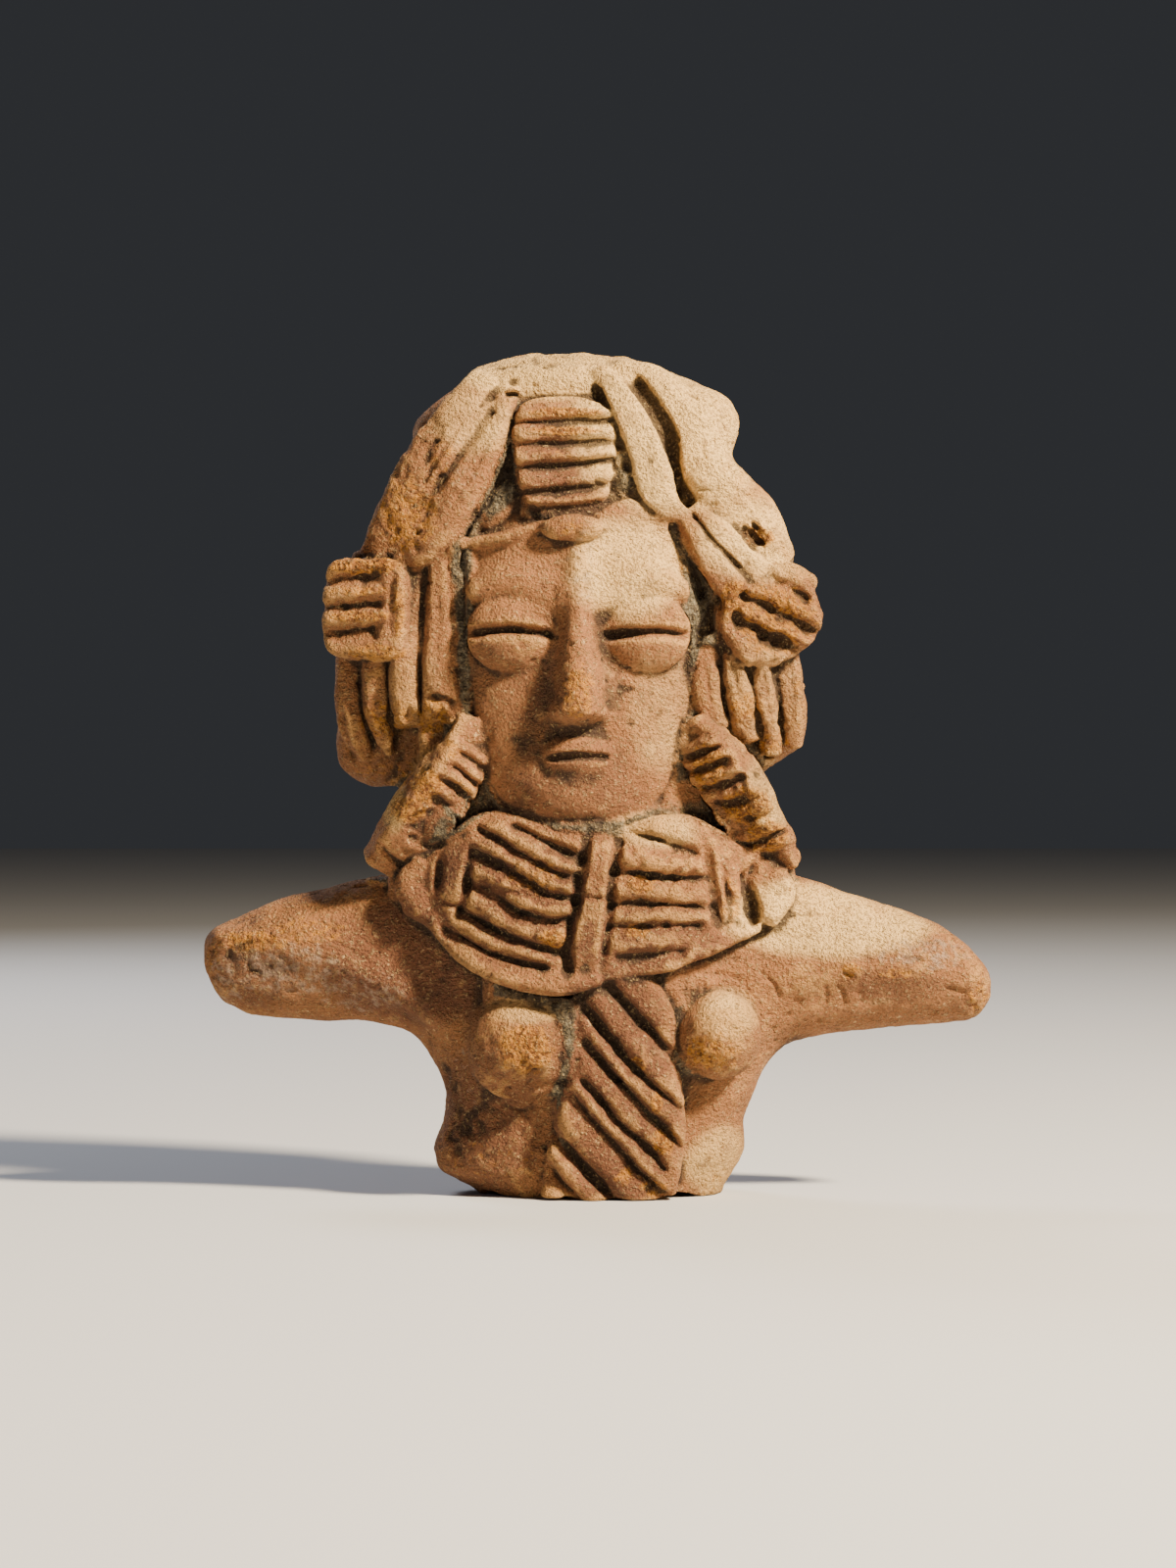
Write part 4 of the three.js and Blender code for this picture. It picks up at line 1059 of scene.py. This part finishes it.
# Where the skin differs, as the photograph shows it: x, z, the reach each way, and how strongly.
PATCHES = {
    # ground off to the coarse orange body of the clay
    "ochre": [
        (-24, 87, 5, 6, 0.8), (-20, 93, 3, 5, 0.5), (-29.5, 80.6, 6, 1.7, 1),
        (-30, 77.3, 5, 0.9, 0.8), (-30, 74, 5, 0.9, 1), (-28, 69.4, 5, 1.5, 0.8),
        (-25.2, 75, 1.1, 5, 0.8), (22.5, 73.8, 7, 6, 0.8), (17.5, 76, 2.5, 3.5, 1),
        (20.4, 84.2, 2.6, 1.7, 1), (-4, 99.9, 6, 0.8, 1), (-4, 97.5, 6, 0.8, 0.9),
        (-4, 94.6, 6, 0.7, 0.5), (-3, 85, 3, 1.4, 0.6), (-27, 61, 5, 3, 0.7), (-21, 61, 3, 3, 0.8),
        (-27, 54, 6, 2.4, 0.7), (19, 62.4, 3, 3, 0.7), (22, 58, 4, 2, 0.7), (26, 64, 1.4, 5, 0.6),
        (-21.5, 52.5, 2.5, 3, 0.9), (-24, 49.5, 3, 2, 1), (-18.5, 57, 2, 2, 0.6),
        (-17, 52, 2, 2, 0.6), (19, 50, 4, 3, 1), (14, 55, 3, 4, 0.8), (21.5, 46, 3.5, 2.5, 1),
        (FACE_MID, NOSE_BASE + 4, 2.6, 4.5, 0.8), (-8, 41, 5, 3, 0.6), (-5.5, 33.2, 2.4, 1.6, 0.9),
        (5.5, 40.2, 2.2, 1.6, 1), (5, 34.3, 2.2, 1.3, 0.8), (17, 38, 1.6, 4, 0.7),
        (-9, 19.4, 4.4, 3.8, 1), (14.4, 19, 4.4, 3.2, 0.8), (5, 17.3, 1.4, 1.3, 1),
        (7.5, 12.5, 1, 1.6, 1), (8.4, 7.6, 1.9, 2.2, 1), (3.6, 3.2, 2, 1.6, 0.7),
        (7, 1.6, 2, 1.5, 0.8), (-44, 32.6, 6, 1.8, 0.8), (-37, 34, 7, 2.2, 0.6),
        (-49.6, 30, 1.6, 3.4, 0.6), (32.3, 29, 1.7, 1.7, 0.75), (38.5, 28.6, 3.2, 1, 0.7),
        (49, 25, 2, 4, 0.7), (-14, 5, 9, 4, 0.4), (16, 2, 4, 2, 0.5),
    ],
    # redder: partly fired so, partly painted shade, as most of these lie on the left and lower
    # parts
    "red": [
        (-12, 38, 14, 10, 0.9), (6, 33, 12, 5, 0.9), (2, 14, 9, 20, 1), (-24, 30, 14, 10, 0.8),
        (-14, 10, 9, 12, 0.6), (-45, 28, 9, 6, 0.5), (-4, 94, 7, 8, 0.6), (38, 27, 10, 3, 0.5),
        (-21, 50, 6, 8, 0.5), (FACE_MID, 52, 12, 8, 0.5), (-10, 66, 8, 8, 0.4),
    ],
    # pale and dusty where the skin is smooth, and partly painted light, as most of these lie on the
    # top and the right
    "buff_and_painted_light": [
        (-25.8, 50.2, 2, 4.6, 0.5), (-22.4, 55, 2, 2.2, 0.4), (10, 98, 15, 13, 1),
        (-6, 106, 16, 5, 1), (20, 84, 9, 7, 0.7), (21, 64, 8, 9, 0.4), (22, 52, 4, 7, 0.6),
        (30, 36, 16, 6, 1), (16.6, 23.6, 5, 4, 0.55), (-8.6, 24.4, 7, 2.4, 0.5), (4, 80, 9, 8, 0.7),
        (16, 4, 6, 6, 0.6), (7, 47, 7, 3, 0.6), (-16, 99, 7, 6, 0.5), (-24, 66, 5, 8, 0.3),
        (8, 62, 6, 10, 0.4),
    ],
    # caked with soil wherever it is hollow
    "caked": [
        (-17.6, 74, 4, 16, 1), (12.6, 70, 3.4, 14, 1), (-12.6, 92, 4, 8, 1), (4.4, 92, 3, 7, 0.9),
        (-18, 47, 6, 6, 1), (-3, 47.6, 16, 3.4, 0.9), (-4.4, 16, 3, 14, 1), (-27, 76, 3, 12, 0.5),
        (11, 47.4, 7, 4, 0.7), (-4, 88, 9, 3, 0.9), (19, 78, 4, 5, 0.6),
    ],
    # sandy, where the fine skin has gone but the clay isn't ground down
    "sandy": [
        (-14, 11, 9, 12, 0.9), (-9.5, 20, 7, 7, 1), (15, 20, 6, 6, 0.9), (16, 8, 5, 10, 1),
        (31, 32, 17, 8, 0.7), (14, 97, 13, 12, 0.7), (-4, 106, 14, 3, 0.8), (-23, 88, 7, 14, 0.9),
        (22, 70, 8, 16, 0.8), (-4, 38, 17, 9, 0.6), (-44, 30, 9, 8, 0.6), (5, 12, 7, 16, 0.5),
        (-28, 60, 7, 16, 0.7), (-21, 50, 6, 8, 0.7), (18, 53, 7, 10, 0.8),
    ],
    # a thin grey crust
    "film": [
        (-40, 29, 11, 5, 0.8), (-48, 27, 3, 5, 0.9), (-30, 26, 8, 4, 0.7), (42, 31, 9, 3, 0.8),
        (-18, 14, 5, 9, 0.5), (-2, 80, 3, 7, 0.6), (-25, 52, 4, 5, 0.6), (-17, 92, 3, 8, 0.5),
        (20, 10, 4, 8, 0.4),
    ],
}


# What the material reads at each point.
MASKS = ("soil", "crease", "hollow", "edge", "ochre", "red", "buff_and_painted_light", "sandy", "film")


def front_share(x, y, z):
    """1 on the front of the figure and 0 on the back, fading raggedly over its sides."""
    return 1 - fade(y + 3.5 * grain(x, y, z, 8.0, 91), -7, 6)


def patch(x, z, name):
    """How strongly each point lies in any soft oval of a table."""
    strength = np.zeros(x.shape)
    for middle_x, middle_z, wide, high, most in PATCHES[name]:
        reach = ((x - middle_x) / wide) ** 2 + ((z - middle_z) / high) ** 2
        strength = np.maximum(strength, most * (1 - fade(reach, 0.15, 1.3)))
    return strength


def finish_skin(thing, hollows):
    """Keeps what the material needs to know at each point, and moves the mesh to the frame. The
    share of clay in the ball around a point is over a half in a crease and under it on an edge."""
    points = triples(thing.data.vertices, "co")
    x, y, z = points.T
    solid = np.clip(0.5 - clay / CELL, 0, 1).astype(np.float32)
    close = sample(blurred(blurred(solid, 0.7), 0.7), points)
    wide = sample(blurred(blurred(solid, 2.0), 2.0), points)
    across = ((x - GRID[0][0]) / CELL).round().astype(int)
    up = ((z - GRID[2][0]) / CELL).round().astype(int)
    # 1 on the front itself, 0 on what lies more than a few mm behind it
    near = np.exp(-(((y - front_of_clay()[across, up]) / 1.6) ** 2))
    deep, narrow = (hollow[across, up] for hollow in hollows)
    caked = fade(deep, 0.7, 2.4) * patch(x, z, "caked")
    ahead = front_share(x, y, z)
    values = {
        "soil": np.maximum(caked, 0.8 * fade(narrow, 0.8, 2)) * near,
        # the crease share: partly dust and partly painted shade in every crease
        "crease": (close - 0.5) * 5 * ahead,
        # the hollow share: partly soil stain and partly painted shade in the wide hollows
        "hollow": (wide - 0.5) * 4,
        "edge": (0.5 - close) * 4 * (0.4 + 0.6 * ahead),
    }
    # the back can't be seen in the photograph, so its patches lie by chance
    for number, name in enumerate(PATCHES):
        chance = grain(x + 0.4 * z, y, z - 0.5 * x, 19.0, 300 + 5 * number)
        by_chance = 0.4 * fade(chance, 0.0, 1.3)
        values[name] = ahead * patch(x, z, name) + (1 - ahead) * by_chance
    for name in MASKS:
        attribute = thing.data.attributes.new(name, "FLOAT", "POINT")
        attribute.data.foreach_set("value", np.clip(values[name], 0, 1).astype(np.float32))
    low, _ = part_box(NODE)
    shift = np.array([low.x / MM - DRAWN_LEFT, low.y / MM - DRAWN_FRONT, 0])
    thing.data.vertices.foreach_set("co", ((points + shift) * MM).astype(np.float32).ravel())
    thing.data.polygons.foreach_set("use_smooth", np.ones(len(thing.data.polygons), bool))
    thing.data.update()


# The finish

def linear(code):
    """An sRGB hex colour as linear red, green, blue and alpha."""
    shares = [int(code[i : i + 2], 16) / 255 for i in (1, 3, 5)]
    return (*(s / 12.92 if s <= 0.04045 else ((s + 0.055) / 1.055) ** 2.4 for s in shares), 1.0)


def add(tree, kind, values, **settings):
    """Adds a node with its settings. values sets or joins its sockets, by name or in order, and the
    node's first output comes back."""
    node = tree.nodes.new(kind)
    for name, value in settings.items():
        setattr(node, name, value)
    sockets = [socket for socket in node.inputs if socket.enabled]
    pairs = values.items() if isinstance(values, dict) else enumerate(values)
    for key, value in pairs:
        socket = sockets[key] if isinstance(key, int) else next(s for s in sockets if s.name == key)
        if isinstance(value, bpy.types.NodeSocket):
            tree.links.new(value, socket)
        else:
            socket.default_value = value
    return next(socket for socket in node.outputs if socket.enabled)


def fired_clay_finish():
    """Unglazed fired clay, smoothed by hand: a matte, sandy body that is pinkish tan where the skin
    is whole, redder or paler by the fire and the handling, and orange and coarse where the skin is
    worn off. Grey-green soil sits in the hollows. Light and shade are painted in too: paler on the
    top and the right, redder on the left and lower parts, darker in the creases and wide hollows,
    with painted shade between the sand grains and a painted highlight on their tops."""
    material = bpy.data.materials.new("terracotta_unglazed_sandy")
    material.use_nodes = True
    tree = material.node_tree
    shader = tree.nodes["Principled BSDF"]
    place = tree.nodes.new("ShaderNodeTexCoord").outputs["Object"]
    mm = add(tree, "ShaderNodeVectorMath", (place, (1 / MM,) * 3), operation="MULTIPLY")
    smooth = {"interpolation_type": "SMOOTHSTEP"}

    mask = {"everywhere": 0.5}
    for name in MASKS:
        node = tree.nodes.new("ShaderNodeAttribute")
        node.attribute_name = name
        mask[name] = node.outputs["Fac"]

    # each layer: its mask, colour, patch size in mm, how ragged the patches make its edge,
    # where it starts and is whole, and its strongest share
    layers = [
        # redder patches: fired colour and painted shade
        ("red", "#6C4530", 6.0, 0.7, 0.15, 0.75, 0.9),
        # paler patches: dust and painted light
        ("buff_and_painted_light", "#EAC27C", 8.0, 0.6, 0.15, 0.85, 0.95),
        ("everywhere", "#684634", 3.5, 1.6, 0.55, 1.0, 0.6),
        ("everywhere", "#CCA26A", 2.2, 1.6, 0.6, 1.0, 0.5),
        ("everywhere", "#6E4730", 1.0, 2.3, 0.62, 1.1, 0.6),
        ("everywhere", "#E6C38C", 0.8, 2.4, 0.75, 1.15, 0.55),
        ("film", "#AC9985", 1.0, 2.2, 0.55, 1.15, 0.5),
        ("edge", "#C69658", 1.2, 1.6, 0.25, 0.9, 0.6),
        # darker in the wide hollows: soil stain and painted shade
        ("hollow", "#614A3A", 1.8, 1.0, 0.25, 0.9, 0.6),
        ("ochre", "#BC802C", 0.9, 1.7, 0.45, 0.9, 0.7),
        ("ochre", "#5F361B", 0.6, 2.4, 0.75, 1.15, 0.8),
        ("soil", "#5C5342", 1.2, 1.2, 0.35, 0.85, 0.9),
        ("soil", "#2E2A21", 0.6, 2.2, 0.65, 1.15, 0.8),
        ("soil", "#8C836C", 0.45, 2.4, 0.8, 1.3, 0.6),
        # near-black in the creases: dust and painted shade
        ("crease", "#30241C", 1.0, 0.5, 0.2, 0.8, 0.85),
    ]
    colour = linear("#93643F")
    for index, (name, tint, size, ragged, start, whole, most) in enumerate(layers):
        step = (13.7 * index, 5.1 * index, 0)
        shifted = add(tree, "ShaderNodeVectorMath", (mm, step), operation="ADD")
        cloud = {"Vector": shifted, "Scale": 1 / size, "Detail": 3.0, "Roughness": 0.6}
        cloud = add(tree, "ShaderNodeTexNoise", cloud)
        edge = add(tree, "ShaderNodeMath", (cloud, -0.5), operation="ADD")
        amount = (edge, ragged, mask[name])
        amount = add(tree, "ShaderNodeMath", amount, operation="MULTIPLY_ADD")
        share = add(tree, "ShaderNodeMapRange", (amount, start, whole, 0.0, most), **smooth)
        colour = add(tree, "ShaderNodeMix", (share, colour, linear(tint)), data_type="RGBA")

    # the noises of the fine relief: how each is drawn in, its scale per mm, detail and roughness.
    # The sand is really 0.1 to 0.3 mm across and is drawn at twice that, so that it shows. The
    # drag of a wet finger and the ragged pits are drawn out a little sideways.
    noises = {
        "sand": (None, 2.6, 3.0, 0.6),
        "grit": (None, 1.0, 2.0, 0.5),
        "drag": ((0.5, 0.8, 1.2), 0.8, 3.0, 0.65),
        "pits": ((0.8, 1.0, 1.4), 1.3, 2.0, 0.6),
        "patchy": (None, 0.09, 2.0, 0.5),
    }
    for name, (drawn_in, scale, detail, rough) in noises.items():
        at = mm
        if drawn_in:
            at = add(tree, "ShaderNodeVectorMath", (mm, drawn_in), operation="MULTIPLY")
        cloud = {"Vector": at, "Scale": scale, "Detail": detail, "Roughness": rough}
        noises[name] = add(tree, "ShaderNodeTexNoise", cloud)
    # painted shade in the gaps of the sand, with some dust, then a painted highlight on its tops,
    # partly rubbed pale
    for tint, start, whole, most in (("#33241C", 0.46, 0.33, 0.4), ("#E6C58A", 0.54, 0.68, 0.35)):
        grain_shade_and_highlight = (noises["sand"], start, whole, 0.0, most)
        grain_shade_and_highlight = add(tree, "ShaderNodeMapRange", grain_shade_and_highlight, **smooth)
        colour = add(tree, "ShaderNodeMix", (grain_shade_and_highlight, colour, linear(tint)), data_type="RGBA")
    tree.links.new(colour, shader.inputs["Base Color"])
    shader.inputs["Roughness"].default_value = 0.93
    shader.inputs["Specular IOR Level"].default_value = 0.3

    # the height: pits, and on them the sand, stronger in some places than in others, the drag,
    # the pale grains, and coarse grit where the skin is gone
    height = add(tree, "ShaderNodeMapRange", (noises["pits"], 0.3, 0.37, -0.6, 0.0), **smooth)
    sandy = add(tree, "ShaderNodeMapRange", (noises["patchy"], 0.35, 0.65, 0.3, 1.0))
    sandy = add(tree, "ShaderNodeMath", (mask["sandy"], 0.5, sandy), operation="MULTIPLY_ADD")
    worn = add(tree, "ShaderNodeMath", (mask["ochre"], mask["soil"]), operation="MAXIMUM")
    worn = add(tree, "ShaderNodeMath", (worn, 1.3), operation="MULTIPLY")
    worn = add(tree, "ShaderNodeMath", (mask["sandy"], 0.5, worn), operation="MULTIPLY_ADD")
    parts = (noises["sand"], sandy), (noises["drag"], 0.6), (grain_shade_and_highlight, 0.7), (noises["grit"], worn)
    for part, weight in parts:
        height = add(tree, "ShaderNodeMath", (part, weight, height), operation="MULTIPLY_ADD")
    bump = {"Height": height, "Strength": 1.0, "Distance": 0.0009}
    tree.links.new(add(tree, "ShaderNodeBump", bump), shader.inputs["Normal"])
    return material


def studio():
    """A plain pale floor, a dim plain surround, soft lights and the camera square on to the
    front."""
    corners = np.array([(-3, -3, 0), (3, -3, 0), (3, 3, 0), (-3, 3, 0)], float)
    floor = mesh_object("floor", corners, np.array([[0, 1, 2, 3]]))
    paper = bpy.data.materials.new("pale_floor")
    paper.use_nodes = True
    sheet = paper.node_tree.nodes["Principled BSDF"]
    sheet.inputs["Base Color"].default_value = linear("#C6C8CB")
    sheet.inputs["Roughness"].default_value = 0.8
    floor.data.materials.append(paper)

    world = bpy.data.worlds.new("studio")
    bpy.context.scene.world = world
    world.use_nodes = True
    surround = world.node_tree.nodes["Background"]
    surround.inputs["Color"].default_value = linear("#DDE3EE")
    surround.inputs["Strength"].default_value = 0.042

    # each lamp: its place and size in metres, its power in watts and its colour. A warm key high
    # on the right, a weak cool fill on the left and a light behind
    low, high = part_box(NODE)
    middle = Vector((0, 0, high.z * 0.55))
    for name, place, size, power, colour in (
        ("key", (0.5, -0.38, 0.55), 0.12, 30.5, "#FFE9C8"),
        ("fill", (-0.6, -0.7, 0.25), 0.7, 0.5, "#C2D4FF"),
        ("rim", (-0.35, 0.6, 0.5), 0.3, 4.0, "#F4F6FF"),
    ):
        data = bpy.data.lights.new(name, "AREA")
        data.shape = "DISK"
        data.size = size
        data.energy = power
        data.color = linear(colour)[:3]
        light = bpy.data.objects.new(name, data)
        light.location = place
        light.rotation_euler = (middle - Vector(place)).to_track_quat("-Z", "Y").to_euler()
        bpy.context.scene.collection.objects.link(light)

    # the picture is 200 mm high at the depth of the face
    lens, sensor, picture = 100, 36, 0.2
    camera = bpy.data.objects.new("camera", bpy.data.cameras.new("camera"))
    camera.data.lens = lens
    camera.data.sensor_width = sensor
    camera.data.sensor_fit = "AUTO"
    distance = picture * lens / sensor
    right, ahead = (-1.2 - DRAWN_LEFT) * MM, (-8 - DRAWN_FRONT) * MM
    camera.location = (low.x + right, -distance + low.y + ahead, 52.75 * MM)
    camera.rotation_euler = (math.pi / 2, 0, 0)
    bpy.context.scene.collection.objects.link(camera)
    bpy.context.scene.camera = camera


for lump in (trunk, arms, breasts, hair_mass, crown, hanging_locks, hair_marks, face, jaw_gaps):
    lump()
face_marks()
brow_band()
skin_marks()
# these were scored on their own, before they were pressed on or where they stand proud
for lump, marks in (
    (forehead_pad, forehead_rows),
    (temple_pads, temple_rows),
    (collar, collar_marks),
    (neck_bars, bar_marks),
    (pendant, pendant_marks),
):
    front_before = front_of_clay()
    lump()
    marks(front_before)
wear()
# half of the way to the average of its neighbours, which takes off the steps of the grid
clay[:] = 0.5 * clay + 0.5 * blurred(clay, CELL)
break_at_waist()
hollows = settle_soil()

bust = take_skin()
finish_skin(bust, hollows)
bust.data.materials.append(fired_clay_finish())
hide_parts(NODE)
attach(bust, "root")

studio()
